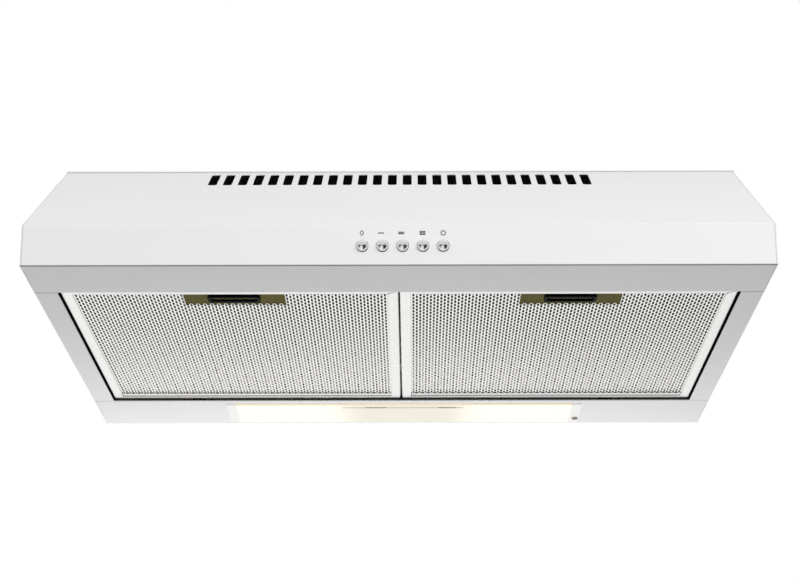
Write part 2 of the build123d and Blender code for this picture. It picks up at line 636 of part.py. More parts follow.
def motor_bracket():
    """Three-armed spider between the motor's face and the blower's left side plate."""
    x1 = MOTOR_X1 + 2
    plate = tube((MOTOR_X1, BLOWER_Y, BLOWER_Z), (1, 0, 0), 32, 9.4, 2)
    for angle in (75, 335, 250):
        c, s = math.cos(math.radians(angle)), math.sin(math.radians(angle))
        arm = Plane(origin=(MOTOR_X1 + 1, BLOWER_Y, BLOWER_Z), x_dir=(0, c, s), z_dir=(1, 0, 0))
        plate += arm * (Pos(42, 0, 0) * Box(34, 9, 2))
        foot = rod((x1 - 2, BLOWER_Y + 56 * c, BLOWER_Z + 56 * s), (1, 0, 0), 4.5, -SCROLL_HALF - SHEET - x1 + 2)
        plate += foot
    return plate


def capacitor():
    """Motor run capacitor, clipped under the top panel."""
    can = rod((-152, 62, -18), (1, 0, 0), 14, 48)
    can = fillet(can.edges().filter_by(GeomType.CIRCLE), 2)
    clip = block(-134, -122, 60, 64, -6, -SHEET)
    return can + clip


# ---- Duct collar and back-draught flaps ----
def duct_collar():
    """Square base on the top panel and a round spigot, with a seat ring for the flaps."""
    half = COLLAR_BASE / 2
    base = block(-half, half, DUCT_Y - half, DUCT_Y + half, 0, COLLAR_T)
    base = fillet(base.edges().filter_by(Axis.Z), 8)
    bore = DUCT_R - DUCT_WALL
    spigot = rod((0, DUCT_Y, 0), (0, 0, 1), DUCT_R, DUCT_H)
    spigot = chamfer(spigot.faces().sort_by(Axis.Z)[-1].edges(), 0.8)
    collar = base + spigot - rod((0, DUCT_Y, -1), (0, 0, 1), bore, DUCT_H + 2)
    seat_top = FLAP_Z - FLAP_T / 2 - 0.1
    seat = tube((0, DUCT_Y, seat_top - 1.5), (0, 0, 1), bore + 0.5, bore - 4, 1.5)
    seat -= block(-70, 70, DUCT_Y - 4.5, DUCT_Y + 4.5, 0, 30)
    collar += seat
    for x in (-1, 1):
        collar += block(*sorted((x * (bore - 3), x * (bore + 0.5))), DUCT_Y - 4, DUCT_Y + 4, FLAP_Z - 4, FLAP_Z + 4)
    collar -= rod((-DUCT_R + 0.6, DUCT_Y, FLAP_Z), (1, 0, 0), PIN_R, 2 * DUCT_R - 1.2)
    for x, y in screw_corners():
        collar -= rod((x, y, -1), (0, 0, 1), PILOT_R, 4)
    return collar


def screw_corners():
    """Places of the collar's four screws."""
    reach = COLLAR_BASE / 2 - 8
    return [(x, DUCT_Y + y) for x in (-reach, reach) for y in (-reach, reach)]


def damper_pin():
    """Hinge pin across the spigot for both flaps."""
    return rod((-DUCT_R + 0.8, DUCT_Y, FLAP_Z), (1, 0, 0), PIN_R, 2 * DUCT_R - 1.6)


def damper_flap(side):
    """Half-round flap with knuckles around the pin. Side -1 is the front flap, +1 the rear one."""
    radius = DUCT_R - DUCT_WALL - 1.2
    disc = rod((0, DUCT_Y, FLAP_Z - FLAP_T / 2), (0, 0, 1), radius, FLAP_T)
    near, far = sorted((DUCT_Y + side * 3.4, DUCT_Y + side * 80))
    flap = disc & block(-80, 80, near, far, 0, 30)
    flap -= block(-80, -radius + 6, DUCT_Y - 9, DUCT_Y + 9, 0, 30)
    flap -= block(radius - 6, 80, DUCT_Y - 9, DUCT_Y + 9, 0, 30)
    first = -46 if side < 0 else -34
    for i in range(4):
        x = first + i * 24
        knuckle = rod((x, DUCT_Y, FLAP_Z), (1, 0, 0), 2.9, 10)
        web = block(x, x + 10, *sorted((DUCT_Y, DUCT_Y + side * 4)), FLAP_Z - FLAP_T / 2, FLAP_Z + FLAP_T / 2)
        flap += knuckle + web
    return flap - rod((-80, DUCT_Y, FLAP_Z), (1, 0, 0), PIN_R + 0.06, 160)


# ---- Electrical parts ----
def terminal_box():
    """Open moulded box under the top panel that takes the supply connections."""
    x0, x1 = BOX_X - BOX_W / 2, BOX_X + BOX_W / 2
    y0, y1 = BOX_Y - BOX_L / 2, BOX_Y + BOX_L / 2 - 6
    z0, z1 = -SHEET - BOX_H, -SHEET
    wall = 2
    box = block(x0, x1, y0, y1, z0, z1) - block(x0 + wall, x1 - wall, y0 + wall, y1 - wall, z0 - 1, z1 - wall)
    strip = block(x0 + 12, x1 - 40, BOX_Y - 20, BOX_Y - 8, z1 - wall - 10, z1 - wall)
    box += strip
    box -= rod((BOX_X, BOX_Y, -20), (0, 0, 1), GLAND_R + 3, 30)
    return box - rod((x1 - 3, y0 + 16, z0 + 14), (1, 0, 0), CABLE_R, 6) - rod(
        (x1 - 3, y0 + 28, z0 + 14), (1, 0, 0), CABLE_R, 6) - rod((x0 + 30, y0 - 3, z0 + 14), (0, 1, 0), CABLE_R, 6)


def terminal_cover():
    """Snap-on lid of the terminal box."""
    x0, x1 = BOX_X - BOX_W / 2, BOX_X + BOX_W / 2
    y0, y1 = BOX_Y - BOX_L / 2, BOX_Y + BOX_L / 2 - 6
    z1 = -SHEET - BOX_H
    lid = block(x0, x1, y0, y1, z1 - 2, z1)
    return fillet(lid.edges().filter_by(Axis.Z), 1.5)


def cable_grommet():
    """Rubber grommet in the top panel's cable hole, with the bore that the supply cable goes through."""
    outer = GLAND_R + 3
    grommet = rod((BOX_X, BOX_Y, -SHEET - 3), (0, 0, 1), outer - 0.1, SHEET + 3)
    grommet += rod((BOX_X, BOX_Y, 0), (0, 0, 1), outer + 2, 2.5)
    grommet = fillet(grommet.faces().sort_by(Axis.Z)[-1].edges(), 1.0)
    return grommet - rod((BOX_X, BOX_Y, -10), (0, 0, 1), GLAND_R, 20)


def cable(points, turns):
    """Round cable along straight runs joined by arcs of the given radii."""
    path = FilletPolyline(*points, radius=turns)
    start = Plane(origin=path @ 0, z_dir=path % 0)
    return sweep(start * Circle(CABLE_R), path=path)


def cable_to_motor():
    """Supply from the terminal box to the motor's end bell."""
    x = BOX_X + BOX_W / 2
    y = BOX_Y - BOX_L / 2 + 16
    z = -SHEET - BOX_H + 14
    points = [(x, y, z), (x + 14, y, z), (x + 14, BLOWER_Y + 20, z - 14), (MOTOR_X0 + 8, BLOWER_Y + 8, BLOWER_Z + MOTOR_R + 2)]
    return cable(points, [6, 10])


def cable_to_lamp():
    """Supply from the terminal box down to the left lamp holder."""
    x = BOX_X + BOX_W / 2
    y = BOX_Y - BOX_L / 2 + 28
    z = -SHEET - BOX_H + 14
    end = LENS_X - LAMP_HOLE_W / 2 - 4 - 8
    points = [(x, y, z), (x + 20, y, z), (x + 20, y, z - 40), (end - 20, LENS_Y, BULB_Z), (end, LENS_Y, BULB_Z)]
    return cable(points, [8, 14, 8])


def cable_to_switch():
    """Control cable from the terminal box, along the top panel and down behind the slope."""
    x = BOX_X - BOX_W / 2 + 30
    y = BOX_Y - BOX_L / 2
    z = -SHEET - BOX_H + 14
    rear = FRONT_Y + SHEET + BUTTON_TRAVEL + 33.2
    points = [
        (x, y, z), (x, -120, z), (-70, rear + 36, BUTTON_Z + 14), (-20, rear + 12, BUTTON_Z),
        (BUTTON_GROUP_X, rear + 3, BUTTON_Z),
    ]
    return cable(points, [40, 30, 10])


# ---- Fasteners ----
def collar_screws():
    """Four screws that hold the duct collar on the top panel."""
    return Compound(children=[screw((x, y, COLLAR_T), (0, 0, -1), length=5) for x, y in screw_corners()])


def blower_screws():
    """Four screws that hold the blower under the top panel."""
    return Compound(children=[screw((x, y, -2 * SHEET), (0, 0, 1), length=2) for x, y in blower_fixings()])


def lens_screw():
    """Screw through the right end of the lens."""
    return screw((LENS_SCREW_X, LENS_SCREW_Y, BOTTOM - LENS_FLANGE), (0, 0, 1), head_r=3.0, head_h=1.4, length=5)


def right_hand_filter():
    """All nodes of the right-hand filter by name, without the side's suffix."""
    low = FILTER_LOW + FRAME_WALL
    high = FILTER_LOW + FILTER_T - FRAME_WALL
    return {
        "filter_frame": filter_frame(),
        "filter_outer_mesh": mesh_layer(low, low + MESH_T),
        "filter_media": corrugated_layer(low + MESH_T, high - MESH_T),
        "filter_inner_mesh": mesh_layer(high - MESH_T, high),
        "filter_hooks": filter_hooks(),
        "latch_plate": latch_plate(),
        "latch_slider": latch_slider(),
        "latch_springs": latch_springs(),
    }


def all_parts():
    """Every node of the hood by name."""
    left_side = side_panel()
    parts = {
        "top_panel": top_panel(),
        "front_canopy": front_canopy(),
        "side_panel_left": left_side,
        "side_panel_right": mirrored(left_side),
        "back_panel": back_panel(),
        "lamp_panel": lamp_panel(),
        "lamp_tray": lamp_tray(),
        "lamp_lens": lamp_lens(),
        "lens_screw": lens_screw(),
        "switch_block": switch_block(),
        "switch_bracket": switch_bracket(),
        "blower_scroll": blower_scroll(),
        "blower_side_left": blower_side(-1),
        "blower_side_right": blower_side(1),
        "blower_screws": blower_screws(),
        "impeller": impeller(),
        "motor_housing": motor_housing(),
        "motor_stator": motor_stator(),
        "motor_rotor": motor_rotor(),
        "motor_shaft": motor_shaft(),
        "motor_bracket": motor_bracket(),
        "capacitor": capacitor(),
        "duct_collar": duct_collar(),
        "collar_screws": collar_screws(),
        "damper_pin": damper_pin(),
        "damper_flap_front": damper_flap(-1),
        "damper_flap_rear": damper_flap(1),
        "terminal_box": terminal_box(),
        "terminal_cover": terminal_cover(),
        "cable_grommet": cable_grommet(),
        "cable_to_motor": cable_to_motor(),
        "cable_to_lamp": cable_to_lamp(),
        "cable_to_switch": cable_to_switch(),
    }
    for side, word in ((-1, "left"), (1, "right")):
        parts[f"lamp_socket_{word}"] = lamp_socket(side)
        parts[f"bulb_{word}"] = bulb(side)
    for name, x in zip(BUTTON_NAMES, button_places()):
        parts[name] = button(x)
    for name, shape in right_hand_filter().items():
        parts[f"{name}_right"] = shape
        parts[f"{name}_left"] = Pos(-2 * FILTER_MID, 0, 0) * shape
    return parts


os.makedirs("parts", exist_ok=True)
for node, shape in all_parts().items():
    export_step(shape, f"parts/{node}.step")
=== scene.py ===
"""Looks of the under-cabinet range hood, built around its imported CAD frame.

All lengths are in metres in the frame of the part: X to the right, Y towards the wall, Z up. The origin is
the centre of the four cabinet screw holes on the top panel.
"""

from __future__ import annotations

import json
import logging
import math
from dataclasses import dataclass, field
from enum import Enum
from typing import Any, Callable

import bpy
import numpy as np
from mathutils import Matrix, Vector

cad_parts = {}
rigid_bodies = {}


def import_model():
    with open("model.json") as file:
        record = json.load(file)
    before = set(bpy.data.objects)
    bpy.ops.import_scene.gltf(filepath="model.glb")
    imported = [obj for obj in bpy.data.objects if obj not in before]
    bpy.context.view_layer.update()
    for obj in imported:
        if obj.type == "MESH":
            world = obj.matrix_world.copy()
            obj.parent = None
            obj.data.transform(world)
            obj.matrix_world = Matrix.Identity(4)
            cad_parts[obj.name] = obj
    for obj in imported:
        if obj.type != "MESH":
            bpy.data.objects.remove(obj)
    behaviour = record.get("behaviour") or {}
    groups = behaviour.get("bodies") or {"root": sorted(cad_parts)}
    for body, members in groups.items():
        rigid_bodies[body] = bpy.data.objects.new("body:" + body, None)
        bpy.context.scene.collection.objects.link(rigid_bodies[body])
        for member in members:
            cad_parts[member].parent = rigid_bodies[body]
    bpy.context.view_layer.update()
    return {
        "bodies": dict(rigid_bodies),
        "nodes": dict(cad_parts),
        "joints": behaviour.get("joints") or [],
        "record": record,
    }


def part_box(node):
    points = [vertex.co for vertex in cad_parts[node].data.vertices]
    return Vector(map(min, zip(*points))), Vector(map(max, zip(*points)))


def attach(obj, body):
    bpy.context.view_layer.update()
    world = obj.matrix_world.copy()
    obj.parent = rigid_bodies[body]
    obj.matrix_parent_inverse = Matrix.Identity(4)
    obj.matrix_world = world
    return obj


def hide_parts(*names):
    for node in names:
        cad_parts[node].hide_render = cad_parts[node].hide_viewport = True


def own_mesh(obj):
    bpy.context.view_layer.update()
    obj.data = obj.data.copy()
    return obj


LOG = logging.getLogger("range_hood")
MM = 0.001
TAU = 2 * math.pi
Colour = tuple[float, float, float]
Array = np.ndarray
HALF_WIDTH, HEIGHT, FRONT_Y, BACK_Y = 0.3, 0.155, -0.35, 0.15
SLOPE_TOP = (-0.157, -0.001)  # y and z of the slope's top edge
SLOPE_RISE, SLOPE_RUN = 119.0, 193.0
SLOPE_LENGTH = math.hypot(SLOPE_RISE, SLOPE_RUN)
HOOD_FACES: tuple[tuple[Colour, float], ...] = (
    ((1.0, 0.0, 0.0), HALF_WIDTH),
    ((-1.0, 0.0, 0.0), HALF_WIDTH),
    ((0.0, 0.0, 1.0), 0.0),
    ((0.0, 0.0, -1.0), HEIGHT),
    ((0.0, -1.0, 0.0), -FRONT_Y),
    ((0.0, 1.0, 0.0), BACK_Y),
    (
        (0.0, -SLOPE_RISE / SLOPE_LENGTH, SLOPE_RUN / SLOPE_LENGTH),
        (SLOPE_RUN * SLOPE_TOP[1] - SLOPE_RISE * SLOPE_TOP[0]) / SLOPE_LENGTH,
    ),
)


class Side(Enum):
    """The two sides of the hood, by the word in the node names."""

    LEFT = "left"
    RIGHT = "right"


# ----------------------------------------------------------------------------------------------------
# Shader maths
# ----------------------------------------------------------------------------------------------------
def _operator(operation: str, reflected: bool = False) -> Callable[..., "Field"]:
    """Makes a method of Field that adds one Math node.

    Args:
        operation: the Math node's operation.
        reflected: takes the other value first.

    Returns:
        The method.
    """

    def method(self: "Field", other: Any = 0.0) -> "Field":
        """The operation on the field and another value."""
        first, second = (other, self) if reflected else (self, other)
        node = self.shader.node("ShaderNodeMath", {"operation": operation}, {0: first, 1: second})
        return Field(self.shader, node.outputs[0])

    return method


class Field:
    """A number that varies over a surface: a socket with the arithmetic operators."""

    def __init__(self, shader: "Shader", socket: bpy.types.NodeSocket) -> None:
        """Wraps one output socket.

        Args:
            shader: the material that the socket belongs to.
            socket: the output socket.
        """
        self.shader = shader
        self.socket = socket

    __add__ = __radd__ = _operator("ADD")
    __sub__ = _operator("SUBTRACT")
    __rsub__ = _operator("SUBTRACT", reflected=True)
    __mul__ = __rmul__ = _operator("MULTIPLY")
    __gt__ = _operator("GREATER_THAN")
    __abs__ = _operator("ABSOLUTE")
    least = _operator("MINIMUM")
    sin = _operator("SINE")

    def band(self, low: float, high: float, edge: float) -> "Field":
        """1 between two values, with soft edges.

        Args:
            low: value where the band starts.
            high: value where it ends.
            edge: width of its edges.

        Returns:
            The band, between 0 and 1.
        """
        return self.smooth(low - edge, low + edge) * (1 - self.smooth(high - edge, high + edge))

    def smooth(self, low: float, high: float) -> "Field":
        """Smooth step from 0 at low to 1 at high.

        Args:
            low: value where the step starts.
            high: value where the step ends.

        Returns:
            The step, between 0 and 1.
        """
        node = self.shader.node(
            "ShaderNodeMapRange", {"interpolation_type": "SMOOTHSTEP"},
            {0: self, 1: low, 2: high, 3: 0.0, 4: 1.0},
        )
        return Field(self.shader, node.outputs[0])


class Shader:
    """One node material, built up by expressions."""

    def __init__(self, name: str, tree: bpy.types.NodeTree | None = None) -> None:
        """Starts an empty material, or wraps a given node tree.

        Args:
            name: the material's name.
            tree: an existing tree to use in place of a new material's.
        """
        self.material: bpy.types.Material | None = None
        if tree is None:
            self.material = bpy.data.materials.new(name)
            self.material.use_nodes = True
            tree = self.material.node_tree
        self.tree = tree
        self.tree.nodes.clear()

    def node(self, kind: str, settings: dict[str, Any], inputs: dict[Any, Any]) -> bpy.types.Node:
        """Adds a node of any type.

        Args:
            kind: the node's type.
            settings: properties, set first.
            inputs: sockets by name or number, each with a value, a Field or a socket.

        Returns:
            The new node.
        """
        made = self.tree.nodes.new(kind)
        for key, value in settings.items():
            setattr(made, key, value)
        for key, value in inputs.items():
            target = made.inputs[key]
            if isinstance(value, Field):
                self.tree.links.new(value.socket, target)
            elif isinstance(value, bpy.types.NodeSocket):
                self.tree.links.new(value, target)
            elif target.type == "RGBA":
                target.default_value = (*value, 1.0)
            else:
                target.default_value = value
        return made

    def place(self, stretch: Colour = (1.0, 1.0, 1.0)) -> bpy.types.NodeSocket:
        """Object coordinates as a vector, with a factor along each axis."""
        source = self.node("ShaderNodeTexCoord", {}, {})
        return self.node("ShaderNodeMapping", {}, {0: source.outputs["Object"], "Scale": stretch}).outputs[0]

    def axes(self) -> tuple[Field, Field, Field]:
        """The three object coordinates as fields, in metres."""
        source = self.node("ShaderNodeTexCoord", {}, {})
        parts = self.node("ShaderNodeSeparateXYZ", {}, {0: source.outputs["Object"]})
        return Field(self, parts.outputs[0]), Field(self, parts.outputs[1]), Field(self, parts.outputs[2])

    def noise(self, size: float, detail: float = 3.0, stretch: Colour = (1.0, 1.0, 1.0)) -> Field:
        """Cloudy noise between 0 and 1.

        Args:
            size: size of a cloud in metres.
            detail: number of finer layers.
            stretch: factor by which the pattern is finer along each axis.

        Returns:
            The noise as a field.
        """
        sockets = {"Vector": self.place(stretch), "Scale": 1 / size, "Detail": detail}
        made = self.node("ShaderNodeTexNoise", {}, sockets)
        return Field(self, made.outputs[0])

    def cells(self, size: float, feature: str = "F1", output: str = "Color") -> bpy.types.NodeSocket:
        """Voronoi cells.

        Args:
            size: size of a cell in metres.
            feature: the Voronoi feature.
            output: name of the output.

        Returns:
            The chosen output socket.
        """
        sockets = {"Vector": self.place(), "Scale": 1 / size}
        made = self.node("ShaderNodeTexVoronoi", {"feature": feature}, sockets)
        return made.outputs[output]

    def blend(self, factor: Any, first: Any, second: Any) -> bpy.types.NodeSocket:
        """Mixes two colours.

        Args:
            factor: share of the second colour.
            first: colour or socket.
            second: colour or socket.

        Returns:
            The mixed colour.
        """
        return self.node("ShaderNodeMix", {"data_type": "RGBA"}, {0: factor, 6: first, 7: second}).outputs[2]

    def bump(self, height: Field, depth: float) -> bpy.types.NodeSocket:
        """Normal of a height field between 0 and 1, of which a height of 1 is depth metres."""
        return self.node("ShaderNodeBump", {}, {"Height": height, "Distance": depth}).outputs[0]

    def finish(self, sockets: dict[str, Any]) -> bpy.types.Material:
        """Adds the surface shader and the output.

        Args:
            sockets: values and links of the Principled shader by socket name.

        Returns:
            The finished material.
        """
        surface = self.node("ShaderNodeBsdfPrincipled", {}, sockets)
        self.node("ShaderNodeOutputMaterial", {}, {"Surface": surface.outputs[0]})
        assert self.material is not None
        return self.material


# ----------------------------------------------------------------------------------------------------
# Finishes
# ----------------------------------------------------------------------------------------------------
@dataclass(frozen=True)
class Finish:
    """A finish; each kind gives the sockets of its surface shader."""

    def sockets(self, shader: Shader) -> dict[str, Any]:
        """Sockets of the surface shader."""
        raise NotImplementedError

    def make(self, name: str) -> bpy.types.Material:
        """Builds the material."""
        shader = Shader(name)
        return shader.finish(self.sockets(shader))


@dataclass(frozen=True)
class Enamel(Finish):
    """Baked enamel on sheet steel: an even colour with a faint orange peel and soft cloudiness.

    The inside of the sheets takes the near-black primer_and_shade: partly the bare inside of the sheet,
    partly painted shade that makes the gaps between the sheets read dark. shell holds the planes of the
    hood's outer faces as (normal, distance); a point is inside where it lies deeper than skin below all of
    them. fold is the place (y, z) of the outer corner of the fascia's lower fold, under which a thin line of
    painted shade darkens the enamel towards primer_and_shade by the share shade_strength, between the heights
    shade_heights above the corner and as far back as shade_reach.
    """

    colour: Colour
    roughness: float = 0.36
    gloss: float = 0.35
    peel: float = 0.0016
    peel_depth: float = 0.000012
    primer_and_shade: Colour = (0.035, 0.036, 0.038)
    skin: float = 0.62 * MM
    shell: tuple[tuple[Colour, float], ...] = ()
    fold: tuple[float, float] | None = None
    shade_heights: tuple[float, float] = (0.2 * MM, 0.85 * MM)
    shade_reach: float = 1.0 * MM
    shade_strength: float = 0.7

    def _depth(self, shader: Shader) -> Field:
        """Distance to the nearest outer plane."""
        axes = shader.axes()
        depth: Any = 1.0
        for normal, distance in self.shell:
            height: Any = distance
            for part, axis in zip(normal, axes):
                if part:
                    height = height - axis * part
            depth = height.least(depth)
        return depth

    def sockets(self, shader: Shader) -> dict[str, Any]:
        """Sockets of the surface shader."""
        cloud = shader.noise(0.11, 2.0)
        rubbed = shader.noise(0.02, 5.0).smooth(0.62, 0.8)
        shade = tuple(c * 0.975 for c in self.colour)
        base = shader.blend(cloud, self.colour, shade)
        # Partly real, partly painted shade: faces inside the shell turn near black, the bare inside of the
        # sheet darkened so that the gaps between the sheets read dark.
        if self.shell:
            inside = self._depth(shader).smooth(self.skin, self.skin + 0.2 * MM)
            base = shader.blend(inside, base, self.primer_and_shade)
        # Painted shade: a thin dark line just under the fascia's lower fold, blended towards the near-black
        # inside colour.
        if self.fold:
            _, y, z = shader.axes()
            back = self.fold[0] + self.shade_reach
            low, high = (self.fold[1] + height for height in self.shade_heights)
            fold_shade = (1 - z.smooth(high, high + 0.25 * MM)) * (z > low) * (1 - y.smooth(back, back + 0.4 * MM))
            base = shader.blend(fold_shade * self.shade_strength, base, self.primer_and_shade)
        peel = shader.noise(self.peel, 1.5)
        fine = shader.noise(self.peel * 0.2, 2.0)
        normal = shader.bump(peel + fine * 0.25, self.peel_depth)
        rough = self.roughness + (cloud - 0.5) * 0.08 + rubbed * 0.05
        return {"Base Color": base, "Roughness": rough, "Normal": normal, "Specular IOR Level": self.gloss}


@dataclass(frozen=True)
class Galvanised(Finish):
    """Zinc-coated sheet with its spangle: crystal cells of differing tone and gloss."""

    colour: Colour
    spangle: float = 0.009

    def sockets(self, shader: Shader) -> dict[str, Any]:
        """Sockets of the surface shader."""
        cell = shader.cells(self.spangle)
        parts = shader.node("ShaderNodeSeparateColor", {}, {0: cell})
        tone = Field(shader, parts.outputs[0])
        dark = tuple(c * 0.72 for c in self.colour)
        grime = shader.noise(0.03, 4.0)
        base = shader.blend(tone * 0.7 + grime * 0.3, self.colour, dark)
        rough = 0.28 + tone * 0.2 + grime * 0.1
        normal = shader.bump(shader.noise(0.004, 3.0), 0.00003)
        return {"Base Color": base, "Metallic": 1.0, "Roughness": rough, "Normal": normal}


@dataclass(frozen=True)
class RolledMetal(Finish):
    """Rolled metal with a fine grain along one axis."""

    colour: Colour
    roughness: float = 0.32
    metallic: float = 1.0
    grain: Colour = (1.0, 20.0, 20.0)
    grain_size: float = 0.01
    tint: Colour | None = None

    def sockets(self, shader: Shader) -> dict[str, Any]:
        """Sockets of the surface shader."""
        streak = shader.noise(self.grain_size, 3.0, self.grain)
        cloud = shader.noise(0.025, 3.0)
        second = self.tint or tuple(c * 0.88 for c in self.colour)
        base = shader.blend(cloud * 0.6 + streak * 0.4, self.colour, second)
        rough = self.roughness + (streak - 0.5) * 0.18
        normal = shader.bump(streak, 0.00001)
        return {"Base Color": base, "Metallic": self.metallic, "Roughness": rough, "Normal": normal}


@dataclass(frozen=True)
class InnerStrand(Finish):
    """Strands of the inner layers, dull, with painted light: near black at the front and near white at the
    rear, where more light reaches them.
    """

    shaded_front: Colour
    lit_rear: Colour
    front: float = -0.27
    rear: float = 0.03

    def sockets(self, shader: Shader) -> dict[str, Any]:
        """Sockets of the surface shader."""
        y = shader.axes()[1]
        film = shader.noise(0.03, 3.0)
        # Painted light: the colour lightens from front to rear; the noise only makes the change uneven.
        share = y.smooth(self.front, self.rear) * (0.85 + film * 0.3)
        base = shader.blend(share, self.shaded_front, self.lit_rear)
        normal = shader.bump(shader.noise(0.002, 3.0), 0.00001)
        return {"Base Color": base, "Metallic": 0.5, "Roughness": 0.42 + film * 0.15, "Normal": normal}


@dataclass(frozen=True)
class Passivated(Finish):
    """Zinc-plated steel with a yellow chromate film that runs from olive to brown."""

    olive: Colour
    brown: Colour
    sheen: Colour
    metallic: float = 0.15
    roughness: float = 0.45
    gloss: float = 0.04

    def sockets(self, shader: Shader) -> dict[str, Any]:
        """Sockets of the surface shader."""
        film = shader.noise(0.018, 3.0)
        flecks = shader.noise(0.0035, 4.0)
        base = shader.blend(film.smooth(0.38, 0.62), self.olive, self.brown)
        base = shader.blend(flecks.smooth(0.5, 0.75) * 0.5, base, self.sheen)
        rough = self.roughness + film * 0.14
        normal = shader.bump(flecks, 0.00002)
        return {
            "Base Color": base, "Metallic": self.metallic, "Roughness": rough, "Normal": normal,
            "Specular IOR Level": self.gloss,
        }


@dataclass(frozen=True)
class Moulded(Finish):
    """Moulded plastic or rubber with a fine leather-like grain."""

    colour: Colour
    roughness: float = 0.5
    grain: float = 0.0006
    depth: float = 0.00002
    gloss: float = 0.4

    def sockets(self, shader: Shader) -> dict[str, Any]:
        """Sockets of the surface shader."""
        grain = Field(shader, shader.cells(self.grain, "SMOOTH_F1", "Distance"))
        cloud = shader.noise(0.03, 3.0)
        lighter = tuple(min(1.0, c * 1.25 + 0.004) for c in self.colour)
        base = shader.blend(cloud, self.colour, lighter)
        rough = self.roughness + (cloud - 0.5) * 0.12
        normal = shader.bump(grain, self.depth)
        return {"Base Color": base, "Roughness": rough, "Normal": normal, "Specular IOR Level": self.gloss}


@dataclass(frozen=True)
class Plated(Finish):
    """Bright chrome or nickel plate with the faintest polishing marks."""

    colour: Colour
    roughness: float = 0.07

    def sockets(self, shader: Shader) -> dict[str, Any]:
        """Sockets of the surface shader."""
        marks = shader.noise(0.002, 4.0, (1.0, 6.0, 1.0))
        cloud = shader.noise(0.006, 2.0)
        dark = tuple(c * 0.93 for c in self.colour)
        base = shader.blend(cloud, self.colour, dark)
        rough = self.roughness + marks * 0.06
        normal = shader.bump(marks, 0.000002)
        return {"Base Color": base, "Metallic": 1.0, "Roughness": rough, "Normal": normal}


@dataclass(frozen=True)
class Laminations(Finish):
    """Stacked iron sheets, as of a motor's core: fine lines across the shaft and some rust."""

    colour: Colour
    rust: Colour = (0.2, 0.12, 0.07)
    sheet: float = 1.2 * MM

    def sockets(self, shader: Shader) -> dict[str, Any]:
        """Sockets of the surface shader."""
        x = shader.axes()[0]
        sheets = (x * (TAU / self.sheet)).sin() * 0.5 + 0.5
        rust = shader.noise(0.01, 5.0)
        base = shader.blend(rust.smooth(0.55, 0.8), self.colour, self.rust)
        normal = shader.bump(sheets, 0.0001)
        return {"Base Color": base, "Metallic": 0.8, "Roughness": 0.5 + rust * 0.2, "Normal": normal}


@dataclass(frozen=True)
class Ink(Finish):
    """Screen-printed ink, slightly uneven."""

    colour: Colour

    def sockets(self, shader: Shader) -> dict[str, Any]:
        """Sockets of the surface shader."""
        cover = shader.noise(0.0008, 3.0)
        faded = tuple(min(1.0, c * 1.5 + 0.01) for c in self.colour)
        base = shader.blend(cover, self.colour, faded)
        normal = shader.bump(cover, 0.000005)
        return {"Base Color": base, "Roughness": 0.5 + cover * 0.15, "Normal": normal}


@dataclass(frozen=True)
class LitLens(Finish):
    """Frosted lens lit from behind: two warm zones, a dimmer middle, unlit ends and a release slot.

    centre, zone_x and end_x give the middle of the lens, the start of the zones and the unlit ends along X.
    front is the lens's front edge and slot its release slot, both along Y; marks are the dark clips seen in
    the slot and slot_x its ends, along X. fade is half the length over which a zone dims, and dot the pitch
    of the slot's dots.
    """

    middle: Colour
    zone: Colour
    unlit: Colour
    amber: Colour
    brown: Colour
    centre: float
    zone_x: float
    end_x: float
    front: float
    slot: tuple[float, float]
    slot_x: tuple[float, float]
    marks: tuple[tuple[float, float], ...]
    strength: float
    pigment: float = 0.3
    fade: float = 24 * MM
    rib: float = 2.6 * MM
    dot: float = 2.1 * MM

    def sockets(self, shader: Shader) -> dict[str, Any]:
        """Sockets of the surface shader."""
        x, y, _ = shader.axes()
        from_middle = abs(x - self.centre)
        glow = from_middle.smooth(self.zone_x - self.fade, self.zone_x + self.fade)
        inside = 1 - from_middle.smooth(self.end_x - MM, self.end_x + MM)
        frost = shader.noise(0.003, 4.0)
        ribs = (x * (TAU / self.rib)).sin() * 0.5 + 0.5
        lit = shader.blend(glow, self.middle, self.zone)
        lit = shader.blend(ribs * (1 - glow) * 0.18, lit, tuple(c * 0.72 for c in self.middle))
        edge = 1 - (y - self.front).smooth(0.8 * MM, 2.2 * MM)
        lit = shader.blend(edge, lit, self.amber)
        gap = y.band(*self.slot, 0.15 * MM) * x.band(*self.slot_x, 0.5 * MM)
        dots = (x * (TAU / self.dot)).sin().smooth(-0.2, 0.5)
        lit = shader.blend(gap * (0.6 + dots * 0.4), lit, tuple(c * 0.55 for c in self.amber))
        clips: Any = 0.0
        for start, end in self.marks:
            clips = x.band(start, end, 0.6 * MM) + clips
        lit = shader.blend(gap * clips, lit, self.brown)
        emission = shader.blend(inside, self.unlit, lit)
        base = shader.blend(gap * clips + frost * 0.1, (self.pigment,) * 3, self.brown)
        rough = 0.35 + frost * 0.1
        normal = shader.bump(frost * 0.4 + ribs * 0.6, 0.00004)
        return {
            "Base Color": base,
            "Roughness": rough,
            "Normal": normal,
            "Emission Color": emission,
            "Emission Strength": self.strength,
            "Specular IOR Level": 0.25,
        }


@dataclass(frozen=True)
class Glow(Finish):
    """Frosted bulb glass, brightest around its filament."""

    colour: Colour
    strength: float

    def sockets(self, shader: Shader) -> dict[str, Any]:
        """Sockets of the surface shader."""
        frost = shader.noise(0.004, 3.0)
        dim = tuple(c * 0.8 for c in self.colour)
        emission = shader.blend(frost, self.colour, dim)
        return {
            "Base Color": (0.9, 0.88, 0.84),
            "Roughness": 0.25 + frost * 0.1,
            "Emission Color": emission,
            "Emission Strength": self.strength,
            "Normal": shader.bump(frost, 0.00001),
        }


